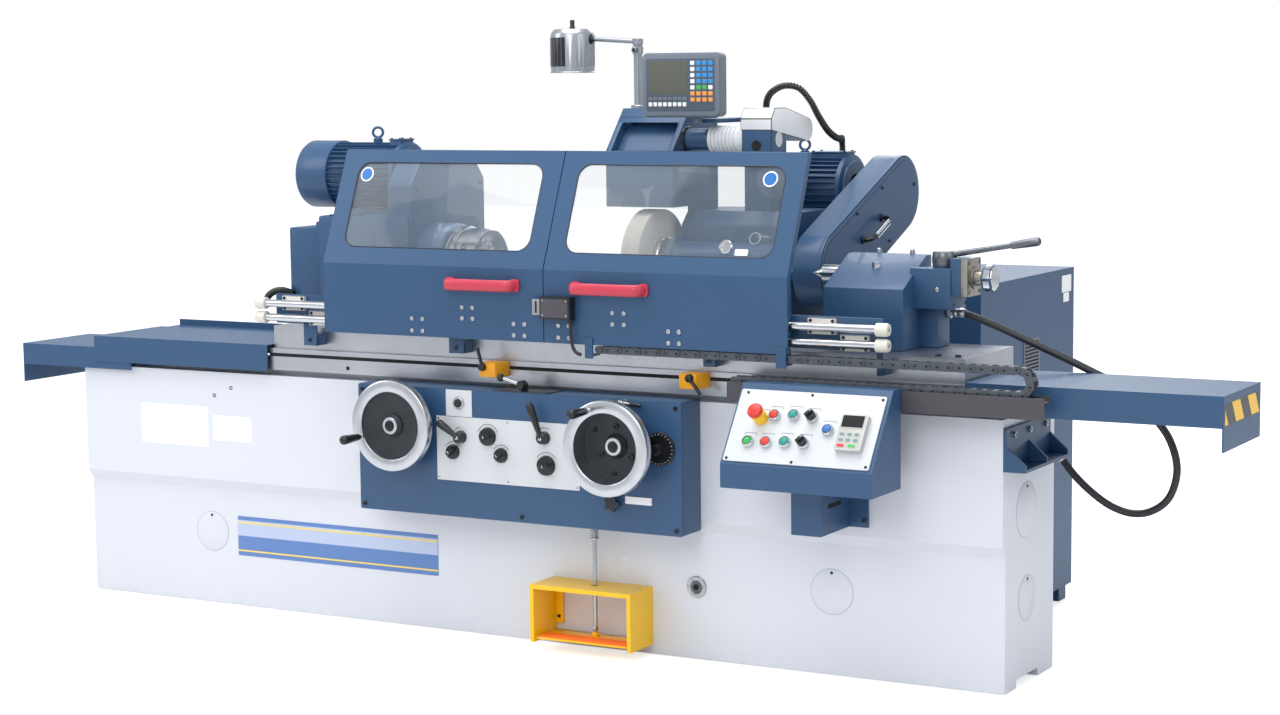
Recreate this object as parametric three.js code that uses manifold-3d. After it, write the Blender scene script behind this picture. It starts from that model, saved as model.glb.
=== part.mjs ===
// A universal cylindrical grinding machine, built as an assembly of separate pieces.
// Millimetres. x runs along the bed to the right, y to the back, z up.
// The origin is on the floor under the middle of the bed.
import * as THREE from 'three';
import { mergeVertices } from 'three/addons/utils/BufferGeometryUtils.js';
import Module from 'manifold-3d';

const wasm = await Module();
wasm.setup();

// Clearances and tool sizes that every piece shares
const seat = 0.3;
const overrun = 12;
const weldDistance = 0.0005;
const sheet = 3;
const fineSides = 24;
const coarseSides = 16;
const smallSides = 10;

// Driving sizes of the bed
const bed = {
  length: 3048,
  plinthFront: -180,
  front: -200,
  back: 173,
  plinthTop: 355,
  stepRise: 30,
  top: 716,
  footGapFront: -99,
  footGapBack: 60,
  footGapHeight: 22,
  footGapLength: 320,
  wayRise: 18.7,
  frontWay: [-150, -100],
  rearWay: [60, 120],
  rearLeft: -300,
  rearRight: 620,
  rearBack: 1000,
  rearRise: 44,
};
bed.left = -bed.length / 2;
bed.right = bed.length / 2;
bed.wayTop = bed.top + bed.wayRise;
bed.rearTop = bed.top + bed.rearRise;

// Driving sizes of the work table, whose own middle is its x origin
const table = {
  offset: 320,
  length: 2240,
  front: -210,
  back: 150,
  thick: 65,
  slotDrop: 14,
  slotHeight: 10,
  slotDepth: 12,
  upperInset: 20,
  upperThick: 66,
  upperEdge: 10,
};
table.bottom = bed.wayTop + seat;
table.top = table.bottom + table.thick;
table.right = table.length / 2;
table.left = -table.length / 2;
table.upperBottom = table.top + seat;
table.upperTop = table.upperBottom + table.upperThick;
table.upperFront = table.front + table.upperEdge;
table.upperBack = table.back - table.upperEdge;
table.workY = 20;
table.workHeight = 190;
table.workZ = table.upperTop + table.workHeight;

// Driving sizes of the wheelhead, which slides across the rear of the bed
const wheelhead = {
  spindleY: 262,
  left: 330,
  right: 690,
  front: 300,
  back: 900,
  saddleThick: 90,
  saddleOverhang: 40,
  top: 1200,
  motorDeck: 1120,
  deckFront: 600,
  chamfer: 40,
  barrel: 58,
  shaft: 30,
};
wheelhead.spindleZ = table.workZ;
wheelhead.bottom = bed.rearTop + seat;
wheelhead.saddleTop = wheelhead.bottom + wheelhead.saddleThick;

const axisOf = {
  x: new THREE.Vector3(1, 0, 0),
  y: new THREE.Vector3(0, 1, 0),
  z: new THREE.Vector3(0, 0, 1),
  front: new THREE.Vector3(0, -1, 0),
  left: new THREE.Vector3(-1, 0, 0),
};

// Merged vertices, no empty triangles and faces that point outwards
function weld(geometry) {
  const bare = geometry.clone();
  bare.deleteAttribute('normal');
  bare.deleteAttribute('uv');
  const merged = mergeVertices(bare, weldDistance);
  const spots = merged.attributes.position;
  const corners = [0, 0, 0].map(() => new THREE.Vector3());
  const kept = [];
  let volume = 0;
  for (let i = 0; i < merged.index.count; i += 3) {
    const ids = [0, 1, 2].map((k) => merged.index.getX(i + k));
    if (new Set(ids).size < ids.length) continue;
    ids.forEach((id, k) => corners[k].fromBufferAttribute(spots, id));
    volume += corners[0].dot(corners[1].cross(corners[2]));
    kept.push(ids);
  }
  const facing = volume < 0 ? kept.map(([a, b, c]) => [a, c, b]) : kept;
  merged.setIndex(facing.flat());
  return merged;
}

function asManifold(geometry) {
  const closed = weld(geometry);
  const mesh = new wasm.Mesh({
    numProp: 3,
    vertProperties: Float32Array.from(closed.attributes.position.array),
    triVerts: Uint32Array.from(closed.index.array),
  });
  return new wasm.Manifold(mesh);
}

function asGeometry(manifold) {
  const mesh = manifold.getMesh();
  const geometry = new THREE.BufferGeometry();
  geometry.setAttribute('position', new THREE.BufferAttribute(Float32Array.from(mesh.vertProperties), 3));
  geometry.setIndex(new THREE.BufferAttribute(Uint32Array.from(mesh.triVerts), 1));
  return geometry;
}

function join(...parts) {
  return asGeometry(parts.map(asManifold).reduce((whole, part) => whole.add(part)));
}

function cut(body, ...tools) {
  return asGeometry(tools.map(asManifold).reduce((left, tool) => left.subtract(tool), asManifold(body)));
}

function slab([x0, x1], [y0, y1], [z0, z1]) {
  const box = new THREE.BoxGeometry(x1 - x0, y1 - y0, z1 - z0);
  return box.translate((x0 + x1) / 2, (y0 + y1) / 2, (z0 + z1) / 2);
}

function outline(points) {
  return new THREE.Shape(points.map(([u, v]) => new THREE.Vector2(u, v)));
}

// An outline pushed along one axis: y and z for x, x and z for y, x and y for z
function prism(axis, [from, to], shape, curveSegments = 6) {
  const base = Array.isArray(shape) ? outline(shape) : shape;
  const options = { depth: to - from, bevelEnabled: false, curveSegments };
  const geometry = new THREE.ExtrudeGeometry(base, options);
  const { x, y, z, front } = axisOf;
  const frames = { x: [y, z, x], y: [x, z, front], z: [x, y, z] };
  geometry.applyMatrix4(new THREE.Matrix4().makeBasis(...frames[axis]));
  const start = axis === 'y' ? axisOf.y.clone().multiplyScalar(to)
    : axisOf[axis].clone().multiplyScalar(from);
  return geometry.translate(start.x, start.y, start.z);
}

// A profile of [distance along the axis, radius] turned about an axis through a point
function turned(axis, [x, y, z], profile, sides = fineSides) {
  const spots = profile.map(([along, radius]) => new THREE.Vector2(radius, along));
  if (spots[0].x > 0) spots.unshift(new THREE.Vector2(0, spots[0].y));
  const last = spots[spots.length - 1];
  if (last.x > 0) spots.push(new THREE.Vector2(0, last.y));
  const lathe = new THREE.LatheGeometry(spots, sides);
  lathe.applyQuaternion(new THREE.Quaternion().setFromUnitVectors(axisOf.y, axisOf[axis]));
  return lathe.translate(x, y, z);
}

// A round bar along x, y or z; centre gives the two other coordinates in that order
function rod(axis, [from, to], [u, v], radius, sides = coarseSides) {
  const start = { x: [from, u, v], y: [u, from, v], z: [u, v, from] }[axis];
  return turned(axis, start, [[0, radius], [to - from, radius]], sides);
}

// A straight round bar between two points, tapered where its far end has a radius of its own
function strut(from, to, radius, sides = smallSides, farRadius = radius) {
  const start = new THREE.Vector3(...from);
  const reach = new THREE.Vector3(...to).sub(start);
  const bar = new THREE.CylinderGeometry(farRadius, radius, reach.length(), sides);
  bar.translate(0, reach.length() / 2, 0);
  bar.applyQuaternion(new THREE.Quaternion().setFromUnitVectors(axisOf.y, reach.clone().normalize()));
  return bar.translate(...from);
}

function ball([x, y, z], radius, sides = smallSides) {
  return new THREE.SphereGeometry(radius, sides, sides / 2).translate(x, y, z);
}

function ring(radius, sides) {
  const turn = 2 * Math.PI / sides;
  return Array.from({ length: sides }, (_, k) => [radius * Math.cos(k * turn), radius * Math.sin(k * turn)]);
}

// A round tube along a smooth curve through hand-chosen points
function tube(points, radius, sides, steps) {
  const path = new THREE.CatmullRomCurve3(points.map((point) => new THREE.Vector3(...point)));
  return new THREE.ExtrudeGeometry(outline(ring(radius, sides)),
      { steps, extrudePath: path, bevelEnabled: false });
}

// A corrugated tube: rings of two radii in turn along a curve, closed at both ends
function ribbedConduit(points, radius, depth, ribs) {
  const path = new THREE.CatmullRomCurve3(points.map((point) => new THREE.Vector3(...point)));
  const frames = path.computeFrenetFrames(ribs * 2, false);
  const sides = 6;
  const spotsOf = (k) => ring(k % 2 ? radius : radius - depth, sides).map(([u, v]) => (
    path.getPointAt(k / (ribs * 2)).addScaledVector(frames.normals[k], u).addScaledVector(frames.binormals[k],
        v)));
  const rows = Array.from({ length: ribs * 2 + 1 }, (_, k) => spotsOf(k));
  const ends = [path.getPointAt(0), path.getPointAt(1)];
  const vertices = [...rows.flat(), ...ends].flatMap((spot) => [spot.x, spot.y, spot.z]);
  const faces = [];
  const at = (row, side) => row * sides + side % sides;
  for (let row = 0; row < ribs * 2; row += 1) {
    for (let side = 0; side < sides; side += 1) {
      faces.push(at(row, side), at(row, side + 1), at(row + 1, side));
      faces.push(at(row + 1, side), at(row, side + 1), at(row + 1, side + 1));
    }
  }
  const first = rows.length * sides;
  for (let side = 0; side < sides; side += 1) {
    faces.push(first, at(0, side + 1), at(0, side));
    faces.push(first + 1, at(ribs * 2, side), at(ribs * 2, side + 1));
  }
  const geometry = new THREE.BufferGeometry();
  geometry.setAttribute('position', new THREE.BufferAttribute(new Float32Array(vertices), 3));
  geometry.setIndex(faces);
  return geometry;
}

function roundedPlate([u0, u1], [v0, v1], radius) {
  const shape = new THREE.Shape();
  shape.moveTo(u0 + radius, v0);
  shape.lineTo(u1 - radius, v0);
  shape.absarc(u1 - radius, v0 + radius, radius, -Math.PI / 2, 0);
  shape.lineTo(u1, v1 - radius);
  shape.absarc(u1 - radius, v1 - radius, radius, 0, Math.PI / 2);
  shape.lineTo(u0 + radius, v1);
  shape.absarc(u0 + radius, v1 - radius, radius, Math.PI / 2, Math.PI);
  shape.lineTo(u0, v0 + radius);
  shape.absarc(u0 + radius, v0 + radius, radius, Math.PI, Math.PI * 1.5);
  return shape;
}

const paint = (color, roughness = 0.42, metalness = 0) => new THREE.MeshStandardMaterial({ color, roughness,
    metalness });
const blue = 0x3b638f;
const white = 0xe6e9ef;
const steel = 0xb9bcc0;
const black = 0x222427;
const grey = 0x5c626c;

const machine = new THREE.Group();
const tableGroup = new THREE.Group();
tableGroup.position.x = table.offset;
machine.add(tableGroup);

function place(name, geometry, material, parent = machine) {
  const mesh = new THREE.Mesh(weld(geometry), material);
  mesh.name = name;
  parent.add(mesh);
  return mesh;
}

// Bed: a T-shaped casting, a front bed that carries the table and a rear bed for the wheelhead
function bedCasting() {
  const front = prism('x', [bed.left, bed.right], [
    [bed.plinthFront, 0], [bed.back, 0], [bed.back, bed.top], [bed.front, bed.top],
    [bed.front, bed.plinthTop + bed.stepRise], [bed.plinthFront, bed.plinthTop],
  ]);
  const rear = slab([bed.rearLeft, bed.rearRight], [bed.back - overrun, bed.rearBack], [0, bed.rearTop]);
  const ways = [bed.frontWay, bed.rearWay].map((span) => (
    slab([bed.left, bed.right], span, [bed.top - overrun, bed.wayTop])));
  const gapSpans = [
    [bed.left - overrun, bed.left + bed.footGapLength], [bed.right - bed.footGapLength, bed.right + overrun],
  ];
  const footGaps = gapSpans.map((span) => slab(span, [bed.footGapFront, bed.footGapBack],
      [-overrun, bed.footGapHeight]));
  return cut(join(front, rear, ...ways), ...footGaps);
}
place('bed_casting', bedCasting(), paint(white, 0.38));

// End bracket: a gusseted plate bolted to the right end of the bed, under the cover
const bracket = { plate: 9, front: -200, back: 120, low: 583, high: 693, rib: 60, ribTop: 655, ribThick: 8,
    ribInset: 20 };
function endBracket() {
  const face = bed.right + seat;
  const plate = slab([face, face + bracket.plate], [bracket.front, bracket.back],
    [bracket.low, bracket.high]);
  const shelf = slab([face, face + bracket.rib], [bracket.front, bracket.back],
      [bracket.low, bracket.low + bracket.ribThick]);
  const ribs = [bracket.front, (bracket.front + bracket.back - bracket.ribThick) / 2,
      bracket.back - bracket.ribThick];
  const gussets = ribs.map((y) => prism('y', [y, y + bracket.ribThick], [
    [face, bracket.low], [face + bracket.rib, bracket.low],
    [face + bracket.rib, bracket.low + bracket.ribInset], [face, bracket.ribTop],
  ]));
  return join(plate, shelf, ...gussets);
}
place('end_bracket', endBracket(), paint(blue));

// Apron: an open-backed cast housing on the front of the bed
const apron = { left: -399, right: 655, depth: 110, bottom: 362, top: 726, wall: 10, corner: 6,
    cornerSteps: 2 };
apron.back = bed.front - seat;
apron.front = apron.back - apron.depth;

// Foot pedal: a rocking plate in a guard, with a pull rod up into the apron
const pedal = {
  x: 330, guardWidth: 322, guardTop: 190, guardBottom: 27, guardDepth: 128, wall: 12, flange: 26,
  plateGap: 6, plateThick: 8, plateFrontGap: 6, plateTop: 44, pivotLift: 6, pivotRadius: 6,
  lugWidth: 16, lugRise: 14, rodX: 340, rodReach: 40, rodRadius: 6, rodGap: 3, rodClear: 0.6, rodIntoApron: 30,
  collarRadius: 13, collarThick: 6, springRadius: 11, springWire: 1.6, springTurns: 5, springLength: 36,
};
pedal.back = bed.plinthFront - seat;
pedal.front = pedal.back - pedal.guardDepth;
pedal.pivotY = pedal.back - pedal.wall;
pedal.pivotZ = pedal.plateTop + pedal.pivotLift;
pedal.rodY = pedal.pivotY - pedal.rodReach - pedal.pivotRadius;
pedal.left = pedal.x - pedal.guardWidth / 2;
pedal.right = pedal.x + pedal.guardWidth / 2;

const apronButton = { radius: 12, proud: 10, inside: 14, clear: 0.4 };

function apronHousing() {
  const body = prism('y', [apron.front, apron.back],
    roundedPlate([apron.left, apron.right], [apron.bottom, apron.top], apron.corner), apron.cornerSteps);
  const hollow = slab([apron.left + apron.wall, apron.right - apron.wall],
    [apron.front + apron.wall, apron.back + overrun], [apron.bottom + apron.wall, apron.top - apron.wall]);
  const rodHole = rod('z', [apron.bottom - overrun, apron.bottom + apron.wall + overrun],
    [pedal.rodX, pedal.rodY], pedal.rodRadius + pedal.rodClear);
  const buttonHole = rod('y', [apron.front - overrun, apron.front + apron.wall + overrun],
    [panel.buttonX, apronButton.z], apronButton.radius + apronButton.clear, smallSides * 2);
  return join(cut(body, hollow, rodHole, buttonHole), ...apronFittings());
}

// Table handwheel and cross-feed handwheel, with their crank handles
const tableWheel = {
  x: -241, z: 620, radius: 130, rimWidth: 28, rimThick: 22, webAt: 55, webThick: 9, hub: 34, hubLength: 34,
      shaft: 15,
  dishWall: 6, rimBack: 46, handleRadius: 12, handleLength: 88, handleNeck: 7, neckLength: 14,
      crankAngle: 200, crankAt: 103,
};
const crossWheel = {
  ...tableWheel, x: 498, z: 610, rimBack: 112, webAt: 74, hubLength: 40, crankAngle: 116, crankAt: 112,
      collar: 76,
  collarFrom: 20, collarLength: 46,
};

// Reversing lever sizes; it turns on a lug at the top of the apron
const reversing = { x: 144, z: 745, y: [-304, -280], hub: 13, arm: 6, tip: [76, 763], knob: 11 };

// Apron panel: the white control plate with the small plates, clamps and knobs that stay put
const panel = {
  plateLap: 4, left: -128, right: 339, bottom: 466, top: 648, thick: 2.5, buttonPlate: 86,
      buttonPlateBottom: 650,
  buttonPlateTop: 724, buttonX: -52, wheelClear: 12,
  name: [481, 564], nameZ: [441, 462],
  sectorX: 591, sectorZ: 598, sectorRadius: 46, sectorThick: 8, sectorKnob: 15, sectorKnobLength: 34,
  starX: 449, starZ: 441, starRadius: 24, starHub: 10, starReach: 26, starThick: 12, starArms: 5,
  clampX: 484, clampZ: 719, clampReach: 62, clampRadius: 6, clampHub: 9, clampAt: 30, clampDrop: 4,
  reversePlate: [60, 236], reversePlateThick: 3, lugThick: 7, lugHalf: 10, lugRise: 5,
};
apronButton.z = (panel.buttonPlateBottom + panel.buttonPlateTop) / 2;
panel.face = apron.front - seat;
panel.front = panel.face - panel.thick;

function apronPanel() {
  const crossWay = rod('y', [panel.front - overrun, panel.face + overrun], [crossWheel.x, crossWheel.z],
    crossWheel.radius + panel.wheelClear, fineSides);
  const board = cut(prism('y', [panel.front, panel.face], [
    [panel.left, panel.bottom], [panel.right, panel.bottom], [panel.right, panel.top], [panel.left, panel.top],
  ]), crossWay);
  const half = panel.buttonPlate / 2;
  const buttonHole = rod('y', [panel.front - overrun, panel.face + overrun],
    [panel.buttonX, apronButton.z], apronButton.radius + apronButton.clear, smallSides * 2);
  const buttonPlate = cut(slab([panel.buttonX - half, panel.buttonX + half], [panel.front, panel.face],
    [panel.top - panel.plateLap, panel.buttonPlateTop]), buttonHole);
  return join(board, buttonPlate);
}
place('apron_panel', apronPanel(), paint(0xdfe1e3, 0.35));

// Fittings that stay put on the apron: sector plate, star knob, collar clamp, name plate, lever plate
function apronFittings() {
  const namePlate = slab(panel.name, [panel.front, apron.front + panel.thick], panel.nameZ);
  const root = apron.front + panel.thick;
  const sector = join(
    rod('y', [panel.face - panel.sectorThick, root], [panel.sectorX, panel.sectorZ], panel.sectorRadius),
    rod('y', [panel.face - panel.sectorKnobLength, root], [panel.sectorX, panel.sectorZ], panel.sectorKnob),
  );
  const armTurn = 2 * Math.PI / panel.starArms;
  const starFace = panel.face - panel.starReach;
  const star = join(
    rod('y', [starFace, root], [panel.starX, panel.starZ], panel.starHub),
    ...Array.from({ length: panel.starArms }, (_, k) => rod('y', [starFace, starFace + panel.starThick],
      [panel.starX + panel.starHub * Math.cos(k * armTurn),
        panel.starZ + panel.starHub * Math.sin(k * armTurn)],
      panel.starRadius / 2, smallSides)),
  );
  const clampFace = panel.face - panel.clampAt;
  const clamp = join(
    rod('y', [clampFace, root], [panel.clampX, panel.clampZ], panel.clampHub, smallSides),
    strut([panel.clampX, clampFace + panel.clampRadius, panel.clampZ],
      [panel.clampX + panel.clampReach, clampFace + panel.clampRadius, panel.clampZ - panel.clampDrop],
        panel.clampRadius),
  );
  const reversePlate = slab(panel.reversePlate, [apron.front, apron.back - apron.wall],
    [apron.top - seat, apron.top + panel.reversePlateThick]);
  const lugFront = reversing.y[1] + seat;
  const lug = slab([reversing.x - panel.lugHalf, reversing.x + panel.lugHalf],
      [lugFront, lugFront + panel.lugThick],
    [apron.top - seat, reversing.z + panel.lugRise]);
  return [namePlate, sector, star, clamp, reversePlate, lug];
}
place('apron_housing', apronHousing(), paint(blue));

function handwheel(wheel) {
  const rimFront = wheel.rimBack + wheel.rimWidth;
  const rimInside = wheel.radius - wheel.rimThick;
  const collar = wheel.collar
    ? [[wheel.collarFrom, wheel.shaft], [wheel.collarFrom, wheel.collar],
      [wheel.collarFrom + wheel.collarLength, wheel.collar],
      [wheel.collarFrom + wheel.collarLength, wheel.hub]]
    : [[wheel.webAt - wheel.hubLength, wheel.shaft], [wheel.webAt - wheel.hubLength, wheel.hub]];
  const body = turned('front', [wheel.x, panel.face, wheel.z], [
    [0, wheel.shaft], ...collar, [wheel.webAt, wheel.hub], [wheel.webAt, rimInside],
    [wheel.rimBack, rimInside],
    [wheel.rimBack, wheel.radius], [rimFront, wheel.radius], [rimFront, rimInside - wheel.dishWall],
    [wheel.webAt + wheel.webThick, rimInside - wheel.dishWall], [wheel.webAt + wheel.webThick, wheel.hub],
    [wheel.webAt + wheel.hubLength / 2, wheel.hub],
  ]);
  const angle = THREE.MathUtils.degToRad(wheel.crankAngle);
  const crank = [wheel.x + wheel.crankAt * Math.cos(angle), wheel.z + wheel.crankAt * Math.sin(angle)];
  const boss = wheel.crankAt < rimInside ? wheel.webAt : wheel.rimBack;
  const grip = turned('front', [crank[0], panel.face - boss, crank[1]], [
    [0, wheel.handleNeck], [rimFront - boss + wheel.neckLength, wheel.handleNeck],
    [rimFront - boss + wheel.neckLength, wheel.handleRadius],
    [rimFront - boss + wheel.handleLength, wheel.handleRadius],
    [rimFront - boss + wheel.handleLength + wheel.handleNeck, wheel.handleNeck],
  ], smallSides);
  return join(body, grip);
}
place('table_handwheel', handwheel(tableWheel), paint(0xc9ccd0, 0.25, 0.8));
place('cross_handwheel', handwheel(crossWheel), paint(0xc9ccd0, 0.25, 0.8));

// Small controls of the apron
place('apron_push_button', rod('y', [panel.front - apronButton.proud, panel.face + apronButton.inside],
  [panel.buttonX, apronButton.z], apronButton.radius, smallSides * 2), paint(0x2b2d30, 0.4));

const lever = { hub: 18, hubLength: 26, arm: 7, tip: 11, lift: 8 };
function panelLever([x, z], [tipX, tipZ]) {
  const back = panel.front - seat;
  const armY = back - lever.hubLength + lever.arm;
  return join(
    rod('y', [back - lever.hubLength, back], [x, z], lever.hub),
    strut([x, armY, z], [tipX, armY - lever.lift, tipZ], lever.arm, smallSides, lever.tip),
    ball([tipX, armY - lever.lift, tipZ], lever.tip),
  );
}
const leftLever = { pivot: [-45, 592], tip: [-99, 631] };
const rightLever = { pivot: [229, 606], tip: [200, 694] };
place('apron_lever_left', panelLever(leftLever.pivot, leftLever.tip), paint(black, 0.3));
place('apron_lever_right', panelLever(rightLever.pivot, rightLever.tip), paint(black, 0.3));

const knob = { baseLength: 12, grip: 9, gripProud: 2, gripHeight: 22 };
const knobs = {
  speed_knob: { spot: [44, 598], tilt: 25, base: 26 },
  throttle_knob_left: { spot: [-73, 548], tilt: 40, base: 21 },
  throttle_knob_right: { spot: [87, 548], tilt: 40, base: 21 },
  selector_knob: { spot: [234, 529], tilt: 15, base: 28 },
};
function wingKnob({ spot: [x, z], tilt, base }) {
  const back = panel.front - seat;
  const reach = base + knob.gripProud;
  const wing = slab([-reach, reach],
      [-knob.baseLength - knob.gripHeight, -knob.baseLength / 2],
    [-knob.grip / 2, knob.grip / 2]);
  wing.rotateY(-THREE.MathUtils.degToRad(tilt));
  return join(rod('y', [back - knob.baseLength, back], [x, z], base), wing.translate(x, back, z));
}
Object.entries(knobs).forEach(([name, values]) => place(name, wingKnob(values), paint(black, 0.3)));

// Reversing lever that the table dogs push over, on top of the apron
function reversingLever() {
  const y = (reversing.y[0] + reversing.y[1]) / 2;
  return join(
    rod('y', reversing.y, [reversing.x, reversing.z], reversing.hub),
    strut([reversing.x, y, reversing.z], [reversing.tip[0], y, reversing.tip[1]], reversing.arm),
    ball([reversing.tip[0], y, reversing.tip[1]], reversing.knob),
  );
}
place('reversing_lever', reversingLever(), paint(black, 0.35));

// Pedal guard, pedal, pull rod with its return spring
function pedalGuard() {
  const outer = slab([pedal.left, pedal.right], [pedal.front, pedal.back],
    [pedal.guardBottom, pedal.guardTop]);
  const inner = slab([pedal.left + pedal.wall, pedal.right - pedal.wall],
      [pedal.front - overrun, pedal.back + overrun],
    [pedal.guardBottom - overrun, pedal.guardTop - pedal.wall]);
  const rodHole = rod('z', [pedal.guardTop - pedal.wall - overrun, pedal.guardTop + overrun],
    [pedal.rodX, pedal.rodY], pedal.collarRadius);
  const flange = slab([pedal.left - pedal.flange, pedal.left + pedal.wall], [pedal.back - sheet, pedal.back],
    [pedal.guardBottom + pedal.flange, pedal.guardTop - pedal.flange]);
  return join(cut(outer, inner, rodHole), flange);
}
place('pedal_guard', pedalGuard(), paint(0xf5b800));

function footPedal() {
  const inset = pedal.wall + pedal.plateGap;
  const plate = slab([pedal.left + inset, pedal.right - inset],
    [pedal.front + pedal.plateFrontGap, pedal.pivotY - pedal.pivotRadius],
    [pedal.plateTop - pedal.plateThick, pedal.plateTop]);
  const pivot = rod('x', [pedal.left + pedal.wall + seat, pedal.right - pedal.wall - seat],
    [pedal.pivotY - pedal.pivotRadius, pedal.plateTop - pedal.plateThick / 2], pedal.pivotRadius);
  const lug = slab([pedal.rodX - pedal.lugWidth / 2, pedal.rodX + pedal.lugWidth / 2],
    [pedal.rodY - pedal.lugWidth / 2, pedal.rodY + pedal.lugWidth / 2],
    [pedal.plateTop - overrun / 2, pedal.plateTop + pedal.lugRise]);
  return join(plate, pivot, lug);
}
place('foot_pedal', footPedal(), paint(0xe8681c, 0.5));

// The pull rod's spring, one unbroken helix between the rod's collar and the apron
function helix([x, y, z], radius, wire, turns, height) {
  const stepsPerTurn = 8;
  const wireSides = 5;
  const count = turns * stepsPerTurn;
  const points = Array.from({ length: count + 1 }, (_, k) => {
    const angle = 2 * Math.PI * k / stepsPerTurn;
    return [x + radius * Math.cos(angle), y + radius * Math.sin(angle),
        z + wire + (height - 2 * wire) * k / count];
  });
  return tube(points, wire, wireSides, count);
}
function pedalRod() {
  const bottom = pedal.plateTop + pedal.lugRise + pedal.rodGap;
  const collarTop = apron.bottom - pedal.springLength - seat;
  return join(
    rod('z', [bottom, apron.bottom + pedal.rodIntoApron], [pedal.rodX, pedal.rodY], pedal.rodRadius),
    rod('z', [collarTop - pedal.collarThick, collarTop], [pedal.rodX, pedal.rodY], pedal.collarRadius),
    helix([pedal.rodX, pedal.rodY, collarTop - pedal.springWire], pedal.springRadius, pedal.springWire,
      pedal.springTurns, pedal.springLength + pedal.springWire),
  );
}
place('pedal_rod', pedalRod(), paint(steel, 0.3, 0.8));

// Control console: a hollow sheet housing on a bracket, with a sloped lid
const desk = {
  left: 865, right: 1290, back: -310, front: -490, bottom: 540, lip: 63, slopeBack: -355, top: 797,
  wall: 3, border: 8, columnLeft: 1015, columnRight: 1100, columnFront: -383, columnBottom: 411,
  flangeLeft: 990, flangeRight: 1153, flangeThick: 8,
};
desk.slopeRise = desk.top - desk.bottom - desk.lip;
desk.slopeRun = desk.slopeBack - desk.front;
desk.slopeLength = Math.hypot(desk.slopeRise, desk.slopeRun);
desk.tilt = Math.atan2(desk.slopeRise, desk.slopeRun);
desk.columnBack = bed.front - seat;

// The console lid lies in this tilted group: x along the desk, y up the slope, z out of it
const slope = new THREE.Group();
slope.position.set(desk.left, desk.front, desk.bottom + desk.lip);
slope.rotation.x = desk.tilt;
machine.add(slope);
slope.updateMatrix();

function deskHousing() {
  const section = (inset) => [
    [desk.back - inset, desk.bottom + inset], [desk.front + inset, desk.bottom + inset],
    [desk.front + inset, desk.bottom + desk.lip], [desk.slopeBack, desk.top - inset],
      [desk.back - inset, desk.top - inset],
  ];
  const shell = prism('x', [desk.left, desk.right], section(0));
  const hollow = prism('x', [desk.left + desk.wall, desk.right - desk.wall], [
    [desk.back - desk.wall, desk.bottom + desk.wall], [desk.front + desk.wall, desk.bottom + desk.wall],
    [desk.front + desk.wall, desk.bottom + desk.lip - desk.border],
      [desk.slopeBack, desk.top - desk.border * 3],
    [desk.back - desk.wall, desk.top - desk.border * 3],
  ]);
  const mouth = slab([desk.border * 2, desk.right - desk.left - desk.border * 2],
    [desk.border * 2, desk.slopeLength - desk.border * 3], [-desk.lip, overrun]).applyMatrix4(slope.matrix);
  const column = slab([desk.columnLeft, desk.columnRight], [desk.columnFront, desk.columnBack],
    [desk.columnBottom, desk.bottom + desk.wall]);
  const flange = slab([desk.flangeLeft, desk.flangeRight], [desk.columnBack - desk.flangeThick,
      desk.columnBack],
    [desk.columnBottom, desk.bottom]);
  return join(cut(shell, hollow, mouth), column, flange);
}
place('console_housing', deskHousing(), paint(blue));

const controls = {
  panelThick: 4, panelLeft: 6, panelRight: 10, panelLow: 8, panelHigh: 20, bezel: 16, bezelRise: 13,
      button: 11.5,
  buttonRise: 9, stem: 14, travelClear: seat, mushroom: 21, mushroomFrom: 40, mushroomTo: 55,
  stopCollar: 19, stopRise: 33, selector: 13,
  selectorRise: 14, selectorGrip: 7, selectorGripRise: 10, lamp: 12, lampRise: 12,
  keypad: [313, 387], keypadUp: [52, 155], keypadRise: 22,
  sides: 12, gripTurn: Math.PI / 4,
};
const spots = {
  estop_button: [84, 132], red_button_upper: [121, 142], teal_button_upper: [174, 146],
      selector_upper: [227, 143],
  blue_button: [279, 110], green_lamp: [66, 63], red_button_lower: [117, 64], teal_button_lower: [170, 68],
  selector_lower: [222, 68],
};
const pressed = ['estop_button', 'red_button_upper', 'teal_button_upper', 'blue_button', 'red_button_lower',
    'teal_button_lower'];
const panelTop = seat + controls.panelThick;

function consolePanel() {
  const board = slab([controls.panelLeft, desk.right - desk.left - controls.panelRight],
    [controls.panelLow, desk.slopeLength - controls.panelHigh], [seat, panelTop]);
  const bezels = Object.values(spots).map((spot) => (
    rod('z', [seat, panelTop + controls.bezelRise], spot, controls.bezel, controls.sides)));
  const stopCollar = rod('z', [seat, panelTop + controls.stopRise], spots.estop_button, controls.stopCollar,
    controls.sides);
  const lamp = turned('z', [...spots.green_lamp, panelTop], [
    [0, controls.lamp], [controls.bezelRise + controls.lampRise / 2, controls.lamp],
    [controls.bezelRise + controls.lampRise, controls.lamp / 2],
  ], coarseSides);
  const keypad = slab(controls.keypad, controls.keypadUp, [seat, panelTop + controls.keypadRise]);
  const holes = pressed.map((name) => (
    rod('z', [-overrun, panelTop + controls.stopRise + overrun], spots[name],
        controls.button + controls.travelClear, controls.sides)));
  return join(cut(join(board, ...bezels, stopCollar), ...holes), lamp, keypad);
}
place('console_panel', consolePanel(), paint(0xe4e6e8, 0.35), slope);

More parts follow.
